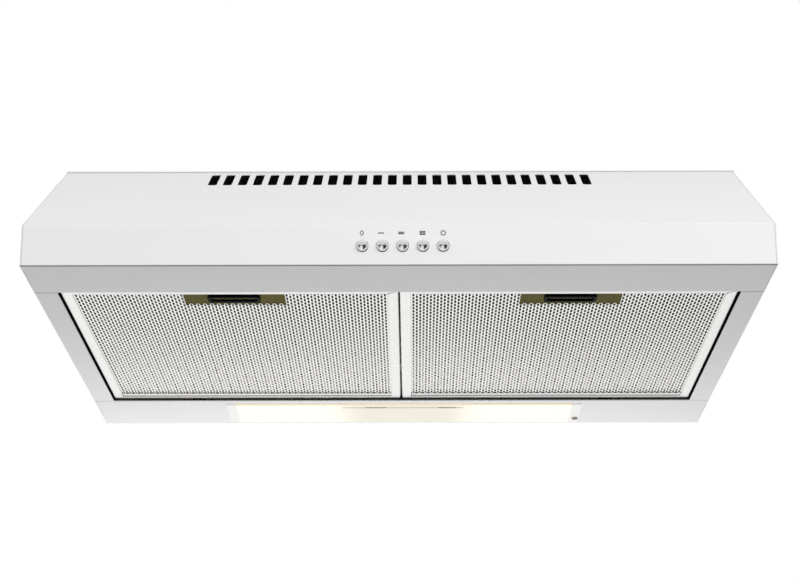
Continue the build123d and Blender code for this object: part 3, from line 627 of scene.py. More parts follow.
# ----------------------------------------------------------------------------------------------------
# Surfaces from arrays
# ----------------------------------------------------------------------------------------------------
@dataclass
class Shell:
    """A mesh in the making: points and faces held as arrays."""

    points: Array
    faces: Array

    def joined(self, *others: "Shell") -> "Shell":
        """This shell and others as one, with their face indices moved up."""
        shells = (self, *others)
        starts = np.cumsum([0] + [len(s.points) for s in shells[:-1]])
        points = np.concatenate([s.points for s in shells])
        faces = np.concatenate([s.faces + start for s, start in zip(shells, starts)])
        return Shell(points, faces)

    def moved(self, offset: Colour) -> "Shell":
        """A copy moved by an offset."""
        return Shell(self.points + np.array(offset), self.faces)

    def outward(self) -> "Shell":
        """This closed shell with its faces turned outwards: its signed volume is made positive."""
        a, b, c, d = (self.points[self.faces[:, i]] for i in range(4))
        volume = np.einsum("ij,ij->", a, np.cross(b, c)) + np.einsum("ij,ij->", a, np.cross(c, d))
        return self if volume > 0 else Shell(self.points, self.faces[:, [1, 0, 3, 2]])


def grid_faces(rows: int, columns: int, closed: bool = False) -> Array:
    """Quads of a grid of points stored row by row.

    Args:
        rows: number of rows of points.
        columns: number of points in a row.
        closed: joins the last column to the first.

    Returns:
        Face indices, one quad a line.
    """
    r = np.arange(rows - 1)[:, None]
    c = np.arange(columns if closed else columns - 1)[None, :]
    near, c2 = r * columns, (c + 1) % columns
    far = near + columns
    quads = np.stack([near + c, near + c2, far + c2, far + c], axis=-1)
    return quads.reshape(-1, 4)


def turned(profile: Array, steps: int) -> Shell:
    """Surface of revolution about the X axis.

    A point (a, r) of the profile and the angle t give (a, r cos t, r sin t).

    Args:
        profile: points (a, r) along the outline.
        steps: number of steps round the axis.

    Returns:
        The shell, with quads that close up round the axis.
    """
    angle = np.linspace(0, TAU, steps, endpoint=False)
    along = np.repeat(profile[:, :1], steps, axis=1)
    points = np.stack([along, profile[:, 1:] * np.cos(angle), profile[:, 1:] * np.sin(angle)], axis=-1)
    return Shell(points.reshape(-1, 3), grid_faces(len(profile), steps, closed=True))


def carried(profile: Array, stations: Array) -> Shell:
    """A closed profile carried through stations.

    Each station is an origin and two directions u and v. The profile's point (a, b) becomes
    origin + a u + b v.

    Args:
        profile: points (a, b) of the closed outline.
        stations: array (n, 3, 3) of origin, u and v.

    Returns:
        The shell, without end caps.
    """
    a, b = profile[:, 0][None, :, None], profile[:, 1][None, :, None]
    points = stations[:, None, 0] + a * stations[:, None, 1] + b * stations[:, None, 2]
    return Shell(points.reshape(-1, 3), grid_faces(len(stations), len(profile), closed=True))


def rounded_outline(half: tuple[float, float], radius: float, steps: int = 3) -> Array:
    """Closed outline of a rounded rectangle about the origin, anticlockwise.

    Args:
        half: half its width and half its length.
        radius: corner radius.
        steps: points in each corner.

    Returns:
        Points (a, b).
    """
    turn = np.linspace(0, math.pi / 2, steps)
    corners = []
    for index, (sx, sy) in enumerate(((1, 1), (-1, 1), (-1, -1), (1, -1))):
        angle = turn + index * math.pi / 2
        centre = np.array([sx * (half[0] - radius), sy * (half[1] - radius)])
        corners.append(centre + radius * np.stack([np.cos(angle), np.sin(angle)], axis=1))
    return np.concatenate(corners)


def strip(outer: Array, inner: Array, stations: Array) -> Shell:
    """A bent sheet: two matching outlines, one each side of the metal, carried through stations and capped.

    The caps at both ends are quads between neighbouring points of the two outlines.

    Args:
        outer: points (a, b) of one side of the sheet.
        inner: points (a, b) of its other side, as many.
        stations: array (n, 3, 3) of origin, u and v.

    Returns:
        The closed shell.
    """
    count = len(outer)
    side = carried(np.concatenate([outer, inner[::-1]]), stations)
    first = np.arange(count - 1)
    last = (len(stations) - 1) * 2 * count
    near, far = first, 2 * count - 1 - first
    low = np.stack([near + 1, near, far, far - 1], axis=1)
    high = np.stack([near, near + 1, far - 1, far], axis=1) + last
    return Shell(side.points, np.concatenate([side.faces, low, high])).outward()


@dataclass
class Maker:
    """Turns shells into Blender pieces that ride on the frame's bodies."""

    materials: dict[str, bpy.types.Material]
    count: int = 0

    def piece(
        self,
        name: str,
        shell: Shell,
        body: str,
        slot: str,
        replaces: tuple[str, ...] = (),
        smooth: float = 40.0,
        finish: str = "",
    ) -> bpy.types.Object:
        """Makes one piece.

        Args:
            name: the piece's name.
            shell: its points and faces; a face whose last two corners are the same is a triangle.
            body: the body that it rides on.
            slot: the record's material slot.
            replaces: CAD nodes that it stands for.
            smooth: largest angle in degrees over which shading is smooth.
            finish: name of its finish where that isn't the slot's.

        Returns:
            The new object.
        """
        mesh = bpy.data.meshes.new(name)
        triangle = shell.faces[:, 2] == shell.faces[:, 3]
        faces = shell.faces[~triangle].tolist() + shell.faces[triangle][:, :3].tolist()
        mesh.from_pydata(shell.points.astype(np.float64), [], faces)
        mesh.validate()
        mesh.polygons.foreach_set("use_smooth", np.ones(len(mesh.polygons), bool))
        mesh.set_sharp_from_angle(angle=math.radians(smooth))
        mesh.materials.append(self.materials[finish or slot])
        made = bpy.data.objects.new(name, mesh)
        bpy.context.scene.collection.objects.link(made)
        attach(made, body)
        if replaces:
            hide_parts(*replaces)
        self.count += 1
        points, faces = len(mesh.vertices), len(mesh.polygons)
        LOG.info("piece %s: %d points, %d faces, rides on %s", name, points, faces, body)
        return made


# ----------------------------------------------------------------------------------------------------
# Sub-assemblies
# ----------------------------------------------------------------------------------------------------
@dataclass
class GreaseFilter:
    """One grease filter: a rolled frame with a ledge at its rear, the meshes, and the latch's springs.

    bar, front_bar and rear_bar are the widths of the frame's bars, lip the thickness of its lower wall, and
    seam the gap of its mitre. The meshes reach under the bars by tuck and under the latch plate by lap.
    stroke is the latch's travel; it is not used.
    """

    side: Side
    maker: Maker
    inner_corner: float = 0.4 * MM
    ledge_sheet: float = 0.3 * MM
    finger_half: float = 17.8 * MM
    finger_width: float = 4.4 * MM
    finger_arch: float = 0.35 * MM
    finger_sheet: float = 0.3 * MM
    finger_rise: float = 1.25 * MM
    finger_back: float = 10.0 * MM
    bar: float = 9.0 * MM
    front_bar: float = 7.4 * MM
    rear_bar: float = 6.0 * MM
    rear_end: float = 18.5 * MM
    ledge_end: float = 11.5 * MM
    lip: float = 1.15 * MM
    corner: float = 3.2 * MM
    tuck: float = 2.2 * MM
    lap: float = 1.6 * MM
    seam: float = 2.8 * MM
    wire: float = 0.35 * MM
    coil_turns: int = 6
    stroke: float = 6.0 * MM

    @property
    def body(self) -> str:
        """Body that the filter rides on."""
        return f"filter_{self.side.value}"

    def node(self, stem: str) -> str:
        """Name of one of this filter's CAD nodes."""
        return f"{stem}_{self.side.value}"

    def build(self) -> None:
        """Makes the filter's pieces."""
        low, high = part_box(self.node("filter_frame"))
        self.x0, self.x1, self.y0, self.y1 = low.x, high.x, low.y, high.y
        self.z0, self.z1 = low.z, high.z
        self._frame()
        self._finger_strip()
        outer = Netting(2.93 * MM, 9.0 * MM, 0.26 * MM, 1.5 * MM, 0.4 * MM, 0.08 * MM,
                        (0.45 * MM, 0.9 * MM, 1.0 * MM))
        inner = Netting(4.4 * MM, 12.0 * MM, 0.4 * MM, 2.2 * MM, 0.4 * MM, 0.2 * MM, (0.6 * MM, 1.3 * MM))
        self._mesh("filter_outer_mesh", outer)
        self._mesh("filter_media", inner, "inner_strand")
        self._mesh("filter_inner_mesh", inner, "inner_strand")
        self._springs()

    def _springs(self) -> None:
        """Two coil springs behind the slider, built at their rest length; nothing here shortens them as the
        latch is pulled.

        A coil's centre line is (R cos t, p t, R sin t), with t through all its turns and p the rise in t.
        """
        low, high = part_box(self.node("latch_springs"))
        reach = (high.z - low.z) / 2
        length = high.y - low.y
        radius = reach - self.wire
        t = np.linspace(0, TAU * self.coil_turns, 16 * self.coil_turns + 1)
        t = np.concatenate([t[:1], t, t[-1:]])
        rise = self.wire + (length - 2 * self.wire) * t / t[-1]
        thick = np.ones(len(t))
        thick[[0, -1]] = 0.0
        still = np.zeros(len(t))
        around = np.linspace(0, TAU, 8, endpoint=False)
        section = self.wire * np.stack([np.cos(around), np.sin(around)], axis=1)
        coils = []
        for x in (low.x + reach, high.x - reach):
            turn = [x + radius * np.cos(t), low.y + rise, low.z + reach + radius * np.sin(t)]
            line = np.stack(turn, axis=1)
            out = np.stack([thick * np.cos(t), still, thick * np.sin(t)], axis=1)
            along = np.stack([still, thick, still], axis=1)
            coils.append(carried(section, np.stack([line, out, along], axis=1)).outward())
        made = self.maker.piece(
            self.node("coil_springs"), coils[0].joined(coils[1]), self.body, "spring_steel",
            (self.node("latch_springs"),), 60.0,
        )
        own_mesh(made)

    def _section(self) -> tuple[Array, Array]:
        """Both sides of the channel's sheet: a C that opens inwards, with a bead along each flange's end.

        The outer side has corners of radius r, the inner side lies one sheet thickness further in.

        Returns:
            Points (a, b) of the outer and the inner side, a inwards and b up.
        """
        height, wall, radius = self.z1 - self.z0, self.lip, 1.3 * MM
        bead = 0.18 * MM
        arc = np.linspace(0, math.pi / 2, 5)
        rise, run = radius * (1 - np.cos(arc)), radius * (1 - np.sin(arc))
        end = np.array([[self.bar, 0.25 * MM], [self.bar - 0.25 * MM, 0.0], [self.bar - 1.1 * MM, 0.0],
                        [self.bar - 1.4 * MM, bead], [self.bar - 1.7 * MM, bead]])
        low = np.concatenate([end, np.stack([run[::-1], rise[::-1]], axis=1)[::-1]])
        outer = np.concatenate([low, (low * [1, -1] + [0, height])[::-1]])
        tight = 0.15 * MM
        inner_low = np.concatenate(
            [np.stack([end[:, 0], np.full(len(end), wall)], axis=1),
             np.stack([wall + tight * (1 - np.sin(arc)), wall + tight * (1 - np.cos(arc))], axis=1)]
        )
        inner = np.concatenate([inner_low, (inner_low * [1, -1] + [0, height])[::-1]])
        return outer, inner

    def _frame(self) -> None:
        """Channel bent round three corners, with its two ends meeting in a mitre at the front right.

        At a rounded corner the profile's point (a, b) lies at the distance a inside the outline, and its
        corner radius falls evenly from the outer one to the inner one at the flange's end: for the angle t
        it is (a + r (1 - cos t), k a + r (1 - sin t)), where k is the ratio of the two bars' widths.
        """
        outer, inner = self._section()
        fall = (self.corner - self.inner_corner) / self.bar
        front, rear = self.front_bar / self.bar, self.rear_bar / self.bar
        gap = self.seam / 2 / self.bar
        corners = (
            (self.x1, self.y1, -1, -1, rear, False),
            (self.x0, self.y1, 1, -1, rear, True),
            (self.x0, self.y0, 1, 1, front, False),
        )
        flat = [((self.x1, self.y0 + 0.03 * MM), (-1.0, front + gap))]
        for x, y, sx, sy, ratio, swap in corners:
            for t in np.linspace(0, math.pi / 2, 7)[:: -1 if swap else 1]:
                c, d = 1 - math.cos(t), 1 - math.sin(t)
                flat.append(
                    ((x + sx * self.corner * c, y + sy * self.corner * d),
                     (sx * (1 - fall * c), sy * (ratio - fall * d)))
                )
        flat.append(((self.x1 - 0.03 * MM, self.y0), (-1.0 - gap, front)))
        stations = np.array([[[*place, self.z0], [*inward, 0.0], [0.0, 0.0, 1.0]] for place, inward in flat])
        shell = strip(outer, inner, stations).joined(self._ledge())
        self.maker.piece(
            self.node("rolled_frame"), shell, self.body, "filter_aluminium",
            (self.node("filter_frame"),), 35.0,
        )

    def _ledge(self) -> Shell:
        """Thin strip behind the rear bar's flange that holds the meshes' end, with a turned-up edge."""
        sheet = self.ledge_sheet
        start, end = 2.0 * MM, self.ledge_end
        along = np.array([start, self.rear_bar, end - 0.8 * MM, end - 0.25 * MM, end])
        rise = np.array([0.0, 0.0, 0.0, 0.1, 0.45]) * MM
        lower = np.stack([along, self.lip + 0.02 * MM + rise], axis=1)
        inward = [0.0, 0.0, -0.05 * MM, -0.2 * MM, -0.3 * MM]
        upper = lower + np.array([[shift, sheet] for shift in inward])
        reach = self.bar - 2.0 * MM
        ends = ((self.x0 + reach), (self.x1 - reach))
        stations = np.array([[[x, self.y1, self.z0], [0.0, -1.0, 0.0], [0.0, 0.0, 1.0]] for x in ends])
        return strip(lower, upper, stations)

    def _finger_strip(self) -> None:
        """Plated strip in the grip ring's recess: an arch z = z0 + h (1 - (2 s)^2) across its width."""
        low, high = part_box(self.node("latch_slider"))
        x, y = (low.x + high.x) / 2, high.y - self.finger_back
        s = np.linspace(-0.5, 0.5, 9)
        sheet = self.finger_sheet
        lower = np.stack([s * self.finger_width, self.finger_arch * (1 - (2 * s) ** 2) - sheet / 2], axis=1)
        upper = lower + np.array([0.0, sheet])
        z = low.z + self.finger_rise
        ends = (x - self.finger_half, x + self.finger_half)
        stations = np.array([[[end, y, z], [0.0, 1.0, 0.0], [0.0, 0.0, 1.0]] for end in ends])
        # The strip takes a lighter copy of the chromate: painted light in the grip ring's shaded recess.
        self.maker.piece(
            self.node("finger_strip"), strip(lower, upper, stations), f"latch_{self.side.value}",
            "yellow_passivated", finish="lit_strip_chromate",
        )

    def _mesh(self, stem: str, net: "Netting", finish: str = "") -> None:
        """Expanded metal over the window, cut away behind the latch plate.

        Args:
            stem: CAD node that the mesh stands for, without its side.
            net: the net's measures.
            finish: the strands' finish where it isn't the slot's.
        """
        low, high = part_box(self.node(stem))
        plate_low, plate_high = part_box(self.node("latch_plate"))
        window = (
            self.x0 + self.bar - self.tuck,
            self.x1 - self.bar + self.tuck,
            self.y0 + self.front_bar - self.tuck,
            self.y1 - self.rear_end,
        )
        keep_out = (plate_low.x + self.lap, plate_high.x - self.lap, plate_high.y - self.lap)
        shell = net.cover(window, (low.z + high.z) / 2, keep_out)
        self.maker.piece(
            self.node(stem.replace("filter_", "expanded_")), shell, self.body, "mesh_aluminium",
            (self.node(stem),), 50.0, finish,
        )


@dataclass(frozen=True)
class Netting:
    """Expanded metal: slits along Y pulled open, so that wavy strands run along Y between staggered holes.

    Sizes: pitch is the distance between two columns of holes, row the distance between two holes in a column,
    wave the sideways swing of a strand, bridge the length between two holes, and tilt the height by which
    each strand leans. opening holds half the hole's width at equal steps from one end to its middle.
    """

    pitch: float
    row: float
    wave: float
    bridge: float
    thickness: float
    tilt: float
    opening: tuple[float, ...]

    def _rings(self, pitch: float, row: float) -> tuple[Array, Array]:
        """Outline of one tile and of its hole, anticlockwise.

        The outline's half-width at the height u is pitch / 2 + wave cos(2 pi u / row), which meets the same
        line of the tile beside it, half a row further on. The hole's half-width is read from opening.

        Args:
            pitch: width of a tile.
            row: length of a tile.

        Returns:
            Points (x, y) of the outline and of the hole, in matching order.
        """
        half = np.array([*self.opening, *self.opening[-2::-1]])
        u = np.linspace(-0.5, 0.5, len(half))
        outer = np.stack([pitch / 2 + self.wave * np.cos(TAU * u), u * row], axis=1)
        hole = np.stack([half, u * (row - self.bridge)], axis=1)
        mirror = np.array([-1.0, 1.0])
        return np.concatenate([outer, outer[::-1] * mirror]), np.concatenate([hole, hole[::-1] * mirror])

    def cover(
        self, window: tuple[float, float, float, float], z: float, cut: tuple[float, float, float]
    ) -> Shell:
        """Covers a window with tiles, shares their edges, and closes the net's border.

        Each tile has a lower and an upper face with a wall round the hole. The hole's edge lies at
        z - tilt x / x_max, so that every strand leans the same way about Y.

        Args:
            window: lowest and highest x, lowest and highest y.
            z: height of the middle of the net.
            cut: lowest x, highest x and highest y of the area at the front that stays free.

        Returns:
            The closed shell.
        """
        x0, x1, y0, y1 = window
        columns, rows = round((x1 - x0) / self.pitch), round((y1 - y0) / self.row)
        pitch, row = (x1 - x0) / columns, (y1 - y0) / rows
        column, line = np.meshgrid(np.arange(columns), np.arange(rows), indexing="ij")
        shift = (column % 2) * 0.5
        centres = np.stack([x0 + pitch * (column + 0.5), y0 + row * (line + 0.5 + shift)], axis=-1)
        centres = centres.reshape(-1, 2)
        free = (centres[:, 0] > cut[0]) & (centres[:, 0] < cut[1]) & (centres[:, 1] < cut[2])
        centres = centres[~free]
        outline, hole = self._rings(pitch, row)
        count, half = len(outline), self.thickness / 2
        lean = -self.tilt * hole[:, :1] / np.abs(hole[:, 0]).max()
        flat = np.zeros((count, 1))
        tile = np.concatenate(
            [
                np.hstack([outline, flat - half]),
                np.hstack([hole, lean - half]),
                np.hstack([hole, lean + half]),
                np.hstack([outline, flat + half]),
            ]
        )
        offset = np.column_stack([centres, np.full(len(centres), z)])
        points = (tile[None] + offset[:, None]).reshape(-1, 3)
        start = (np.arange(len(centres)) * len(tile))[:, None, None]
        faces = (grid_faces(4, count, closed=True)[None, :, ::-1] + start).reshape(-1, 4)
        ring = np.arange(count)
        edge = np.stack([ring, (ring + 1) % count], axis=1)
        middle = (outline[edge].mean(axis=1)[None] + centres[:, None]).reshape(-1, 2)
        _, which, times = np.unique(np.round(middle / 1e-6).astype(np.int64), axis=0, return_inverse=True,
                                    return_counts=True)
        border = (times[which.ravel()] == 1).reshape(len(centres), count)
        wall = np.concatenate([edge[:, ::-1] + 3 * count, edge], axis=1)[None] + start
        faces = np.concatenate([faces, wall[border]])
        keys, inverse = np.unique(np.round(points / 1e-7).astype(np.int64), axis=0, return_inverse=True)
        return Shell(keys * 1e-7, inverse.ravel()[faces])


@dataclass
class ControlRow:
    """The five push buttons and the icons printed over them.

    foot, cap and shank are a button's radii at its rim, dome and stem. edge is the width of its chamfers, and
    collar both the thickness of its collar and the collar's distance behind the fascia's front.
    """

    maker: Maker
    foot: float = 4.7 * MM
    cap: float = 4.6 * MM
    shank: float = 2.6 * MM
    edge: float = 0.3 * MM
    collar: float = 1.2 * MM
    ring_steps: int = 40
    names: tuple[str, ...] = ("stop", "low", "medium", "high", "light")
    icon_z: float = -127.6 * MM
    icon_depth: float = 0.06 * MM
    icon_shift: dict[str, float] = field(
        default_factory=lambda: {"low": -1.1 * MM, "medium": -1.2 * MM, "high": -0.4 * MM, "stop": -0.3 * MM}
    )

    def build(self) -> None:
        """Makes the buttons and the icons."""
        for name in self.names:
            self._button(name)
        marks = {
            "stop": self._ring(1.6, 2.3, 0.7, 0.75),
            "low": self._bars(1),
            "medium": self._bars(2),
            "high": self._bars(3),
            "light": self._lamp(),
        }
        for name, shell in marks.items():
            low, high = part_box(f"button_{name}")
            shift = self.icon_shift.get(name, 0.0)
            centre = ((low.x + high.x) / 2 + shift, self.face_y, self.icon_z)
            self.maker.piece(
                f"icon_{name}", shell.moved(centre), "hood", "switch_plastic", smooth=20.0, finish="grey_ink"
            )

    @property
    def face_y(self) -> float:
        """Front face of the fascia."""
        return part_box("front_canopy")[0].y

    def _button(self, name: str) -> None:
        """Turned button: a low rim, a full dome, and the collar behind the fascia.

        The dome follows r = R cos(t) while its place moves by sin(t) to the nose, for t up to 90 degrees.
        """
        low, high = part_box(f"button_{name}")
        nose, tail = low.y, high.y
        x, z = (low.x + high.x) / 2, (low.z + high.z) / 2
        face, flange, shank, foot, cap = self.face_y, (high.x - low.x) / 2, self.shank, self.foot, self.cap
        edge, collar = self.edge, face + self.collar
        behind = collar + self.collar
        start = face - 2 * edge
        taper = np.array([[face, foot], [face - edge, foot], [start, cap]])
        t = np.linspace(0, math.pi / 2, 26)
        dome = np.stack([start + (nose - start) * np.sin(t), cap * np.maximum(np.cos(t), 0)], axis=1)
        back = np.array(
            [[tail, 0], [tail, shank - edge], [tail - edge, shank], [behind, shank], [behind, flange],
             [collar, flange], [collar, foot + 0.1 * MM]]
        )
        profile = np.concatenate([back, taper, dome[1:]])
        profile[-1, 1] = 0.0
        shell = turned(profile, 64)
        points = np.stack([shell.points[:, 1] + x, shell.points[:, 0], shell.points[:, 2] + z], axis=1)
        self.maker.piece(
            f"push_button_{name}", Shell(points, shell.faces).outward(), f"push_{name}", "button_chrome",
            (f"button_{name}",), 50.0,
        )

    def _plate(self, outline: Array, hole: Array | None = None) -> Shell:
        """A thin raised print in the XZ plane, from an outline and an optional hole with as many points."""
        depth = self.icon_depth
        inner = outline * 0.02 if hole is None else hole
        rings = [
            np.stack([flat[:, 0], np.full(len(flat), y), flat[:, 1]], axis=1)
            for flat, y in ((outline, 0.0), (outline, -depth), (inner, -depth), (inner, 0.0))
        ]
        return Shell(np.concatenate(rings), grid_faces(4, len(outline), closed=True))

    def _ring(self, half_x: float, half_z: float, stroke: float, point: float) -> Shell:
        """Oval ring, sizes in millimetres: around it the radius is scaled by |cos t|^q + |sin t|^q to -1/q.

        Args:
            half_x: half its width.
            half_z: half its height.
            stroke: width of its line.
            point: 1 for an oval, less for a more pointed shape; q is twice this number.

        Returns:
            The shell.
        """
        angle = np.linspace(0, TAU, self.ring_steps, endpoint=False)
        around = np.stack([np.cos(angle), np.sin(angle)], axis=1)
        q = 2 * point
        around = around * ((np.abs(around) ** q).sum(axis=1) ** (-1 / q))[:, None]
        outer = around * np.array([half_x, half_z]) * MM
        inner = around * np.array([half_x - stroke, half_z - stroke]) * MM
        return self._plate(outer, inner)

    def _bars(self, count: int) -> Shell:
        """Stacked bars, each in two halves with a small gap."""
        shells = []
        outline = rounded_outline((1.14 * MM, 0.47 * MM), 0.12 * MM)
        for row in range(count):
            z = (row - (count - 1) / 2) * 1.22 * MM
            for x in (-1.19 * MM, 1.19 * MM):
                shells.append(self._plate(outline).moved((x, 0, z)))
        return shells[0].joined(*shells[1:]) if len(shells) > 1 else shells[0]

    def _lamp(self) -> Shell:
        """Lamp sign: a ring with eight short rays."""
        ring = self._ring(2.1, 2.1, 0.62, 0.68)
        rays = []
        outline = rounded_outline((0.38 * MM, 0.3 * MM), 0.1 * MM)
        for angle in np.arange(8) * TAU / 8:
            c, d = math.cos(angle), math.sin(angle)
            ray = self._plate(outline @ np.array([[c, d], [-d, c]]))
            rays.append(ray.moved((2.3 * MM * c, 0, 2.3 * MM * d)))
        return ring.joined(*rays)


@dataclass
class LampUnit:
    """The lens, with a release slot near its front edge.

    rib is the pitch of its ribs and rib_half half their height. round_edge is the radius of its outer edge,
    and fade the distance from the edge over which the ribs grow.
    """

    maker: Maker
    rib_half: float = 0.05 * MM
    round_edge: float = 1.0 * MM
    fade: float = 6.0 * MM
    slot_x: tuple[float, float] = (-59.0 * MM, 61.0 * MM)
    slot_from_front: float = 8.6 * MM
    slot_w: float = 4.0 * MM
    rib: float = 2.6 * MM

    def build(self) -> None:
        """Makes the lens's skin, a height field closed by an upper face.

        The lower face lies at z = low + edge rounding + ribs, where the rounding is a quarter circle of
        radius r over the last r of the plan and the ribs are a sine of X that fades out at the ends. The
        release slot is a step of 1.1 mm up into the lens.
        """
        low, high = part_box("lamp_lens")
        corner, lip, hair = 2.5 * MM, 1.2 * MM, 0.02 * MM
        left, right = self.slot_x
        s0 = low.y + self.slot_from_front
        s1 = s0 + self.slot_w
        spans_x = (
            (low.x, low.x + corner, 7), (low.x + corner, high.x - corner, 900), (high.x - corner, high.x, 7)
        )
        spans_y = (
            (low.y, low.y + lip, 6), (low.y + lip, s0 - hair, 4), (s0, s1, 2), (s1 + hair, high.y - lip, 10),
            (high.y - lip, high.y, 6),
        )
        slot_ends = [left, left + hair, right - hair, right]
        x = np.unique(np.concatenate([*(np.linspace(*span) for span in spans_x), slot_ends]))
        y = np.unique(np.concatenate([np.linspace(*span) for span in spans_y]))
        gx, gy = np.meshgrid(x, y, indexing="ij")
        edge = np.minimum(np.minimum(gx - low.x, high.x - gx), np.minimum(gy - low.y, high.y - gy))
        radius = self.round_edge
        short = np.clip(radius - edge, 0, radius)
        rounding = radius - np.sqrt(np.maximum(radius**2 - short**2, 0))
        ribs = self.rib_half * (1 + np.sin(gx * TAU / self.rib)) * np.clip(edge / self.fade, 0, 1)
        inside = (gx > left) & (gx < right) & (gy >= s0) & (gy <= s1)
        flange = low.z + lip
        z = np.minimum(low.z + rounding + ribs, flange)
        z = np.where(inside, flange - 0.05 * MM, z)
        lower = np.stack([gx, gy, z], axis=-1).reshape(-1, 3)
        rows, columns = gx.shape
        faces = grid_faces(rows, columns)
        upper = np.stack([gx, gy, np.full_like(gx, flange + 0.001 * MM)], axis=-1).reshape(-1, 3)
        rim_index = np.concatenate(
            [
                np.arange(columns),
                np.arange(1, rows) * columns + columns - 1,
                (rows - 1) * columns + np.arange(columns - 2, -1, -1),
                np.arange(rows - 2, 0, -1) * columns,
            ]
        )
        nxt = np.roll(rim_index, -1)
        offset = len(lower)
        rim = np.stack([rim_index, nxt, nxt + offset, rim_index + offset], axis=1)
        points = np.concatenate([lower, upper])
        shell = Shell(points, np.concatenate([faces, faces[:, ::-1] + offset, rim[:, ::-1]])).outward()
        self.maker.piece("frosted_lens", shell, "hood", "frosted_lens", ("lamp_lens",), 30.0)


@dataclass
class Studio:
    """Floor, lights, world and camera."""

    floor_z: float = -2.0
    floor_half: float = 12.0
    eye: Colour = (0.0114, -1.9307, -0.6875)
    pitch: float = 17.984
    yaw: float = 0.368
    lens: float = 94.95
    sky_level: float = 0.62
    low_level: float = 0.21
    rear_level: float = 0.55

    def build(self) -> None:
        """Makes everything that isn't part of the hood."""
        self._world()
        self._floor()
        self._camera()
        self._area("front_softbox", (-0.1, -3.0, 0.05), (0.0, -0.35, -0.12), (2.0, 1.2), 31.0)
        self._area("key_softbox", (0.9, -1.6, 0.15), (0.1, -0.3, -0.1), (0.8, 0.8), 6.0)
        self._area("rear_low_softbox", (-0.06, 0.55, -0.62), (-0.03, 0.05, -0.155), (1.1, 0.35), 4.9)

    def _world(self) -> None:
        """White backdrop, a soft sky that is darker below the horizon, and its own pattern for reflections.

        Reflections see a bright sky with a grey stripe high in front, a dark line along the horizon in front,
        a bright field low at the back, a dark field low on the right, and grey sides.
        """
        world = bpy.data.worlds.new("studio")
        world.use_nodes = True
        bpy.context.scene.world = world
        shader = Shader("studio", world.node_tree)
        direction = shader.node("ShaderNodeTexCoord", {}, {}).outputs["Generated"]
        parts = shader.node("ShaderNodeSeparateXYZ", {}, {0: direction})
        x, y, z = (Field(shader, parts.outputs[i]) for i in range(3))
        above = z.smooth(-0.06, 0.12)
        low = self.low_level + y.smooth(-0.1, 0.8) * (self.rear_level - self.low_level)
        diffuse = above * self.sky_level + (1 - above) * low
        ahead = 1 - y.smooth(-0.3, 0.2)
        right = x.smooth(0.05, 0.4) * (1 - y.smooth(0.7, 0.9)) * (1 - z.smooth(-0.3, -0.1))
        line = z.band(-0.4, -0.04, 0.08) * ahead
        stripe = (z + x * 0.15).band(0.5, 0.72, 0.08) * ahead
        sides = abs(x).smooth(0.55, 0.8) * (1 - z.smooth(0.1, 0.4)) * (1 - y.smooth(0.5, 0.8))
        gloss = 1.0 - ahead * 0.14
        gloss = gloss * (1 - line * 0.75) * (1 - right * 0.92) * (1 - stripe * 0.4) * (1 - sides * 0.6)
        lights = []
        for level in (diffuse, gloss, 1.0):
            lights.append(shader.node("ShaderNodeBackground", {}, {0: (1.0, 1.0, 1.0), 1: level}).outputs[0])
        rays = shader.node("ShaderNodeLightPath", {}, {})
        mixed = lights[0]
        for ray, light in (("Is Glossy Ray", lights[1]), ("Is Camera Ray", lights[2])):
            sockets = {0: rays.outputs[ray], 1: mixed, 2: light}
            mixed = shader.node("ShaderNodeMixShader", {}, sockets).outputs[0]
        shader.node("ShaderNodeOutputWorld", {}, {0: mixed})

    def _floor(self) -> None:
        """Pale floor far below the hood, seen only by the camera so that it doesn't change the light."""
        mesh = bpy.data.meshes.new("floor")
        corners = [(self.floor_half * x, self.floor_half * y, self.floor_z) for x, y in
                   ((-1, -1), (1, -1), (1, 1), (-1, 1))]
        mesh.from_pydata(corners, [], [(0, 1, 2, 3)])
        shader = Shader("pale_floor")
        tone = shader.noise(0.4, 3.0)
        mesh.materials.append(
            shader.finish({"Base Color": shader.blend(tone, (0.83,) * 3, (0.8,) * 3), "Roughness": 0.7})
        )
        floor = bpy.data.objects.new("floor", mesh)
        bpy.context.scene.collection.objects.link(floor)
        floor.visible_diffuse = False
        floor.visible_glossy = False

    def _area(
        self, name: str, place: Colour, target: Colour, size: tuple[float, float], power: float
    ) -> None:
        """A softbox that faces a target.

        Args:
            name: the light's name.
            place: its position.
            target: the point that it faces.
            size: its width and height.
            power: power in watts.
        """
        light = bpy.data.lights.new(name, "AREA")
        light.shape = "RECTANGLE"
        light.size, light.size_y = size
        light.energy = power
        holder = bpy.data.objects.new(name, light)
        bpy.context.scene.collection.objects.link(holder)
        holder.location = place
        towards = np.array(target) - np.array(place)
        holder.rotation_euler = (
            math.atan2(math.hypot(towards[0], towards[1]), -towards[2]),
            0.0,
            math.atan2(towards[0], -towards[1]) + math.pi,
        )
        holder.visible_camera = False
        holder.visible_glossy = False

    def _camera(self) -> None:
        """Camera below and in front of the hood, looking up."""
        data = bpy.data.cameras.new("camera")
        data.lens = self.lens
        data.sensor_width = 36.0
        data.sensor_fit = "HORIZONTAL"
        data.clip_end = 100.0
        camera = bpy.data.objects.new("camera", data)
        bpy.context.scene.collection.objects.link(camera)
        camera.location = self.eye
        camera.rotation_euler = (math.radians(90 + self.pitch), 0.0, math.radians(self.yaw))
        bpy.context.scene.camera = camera


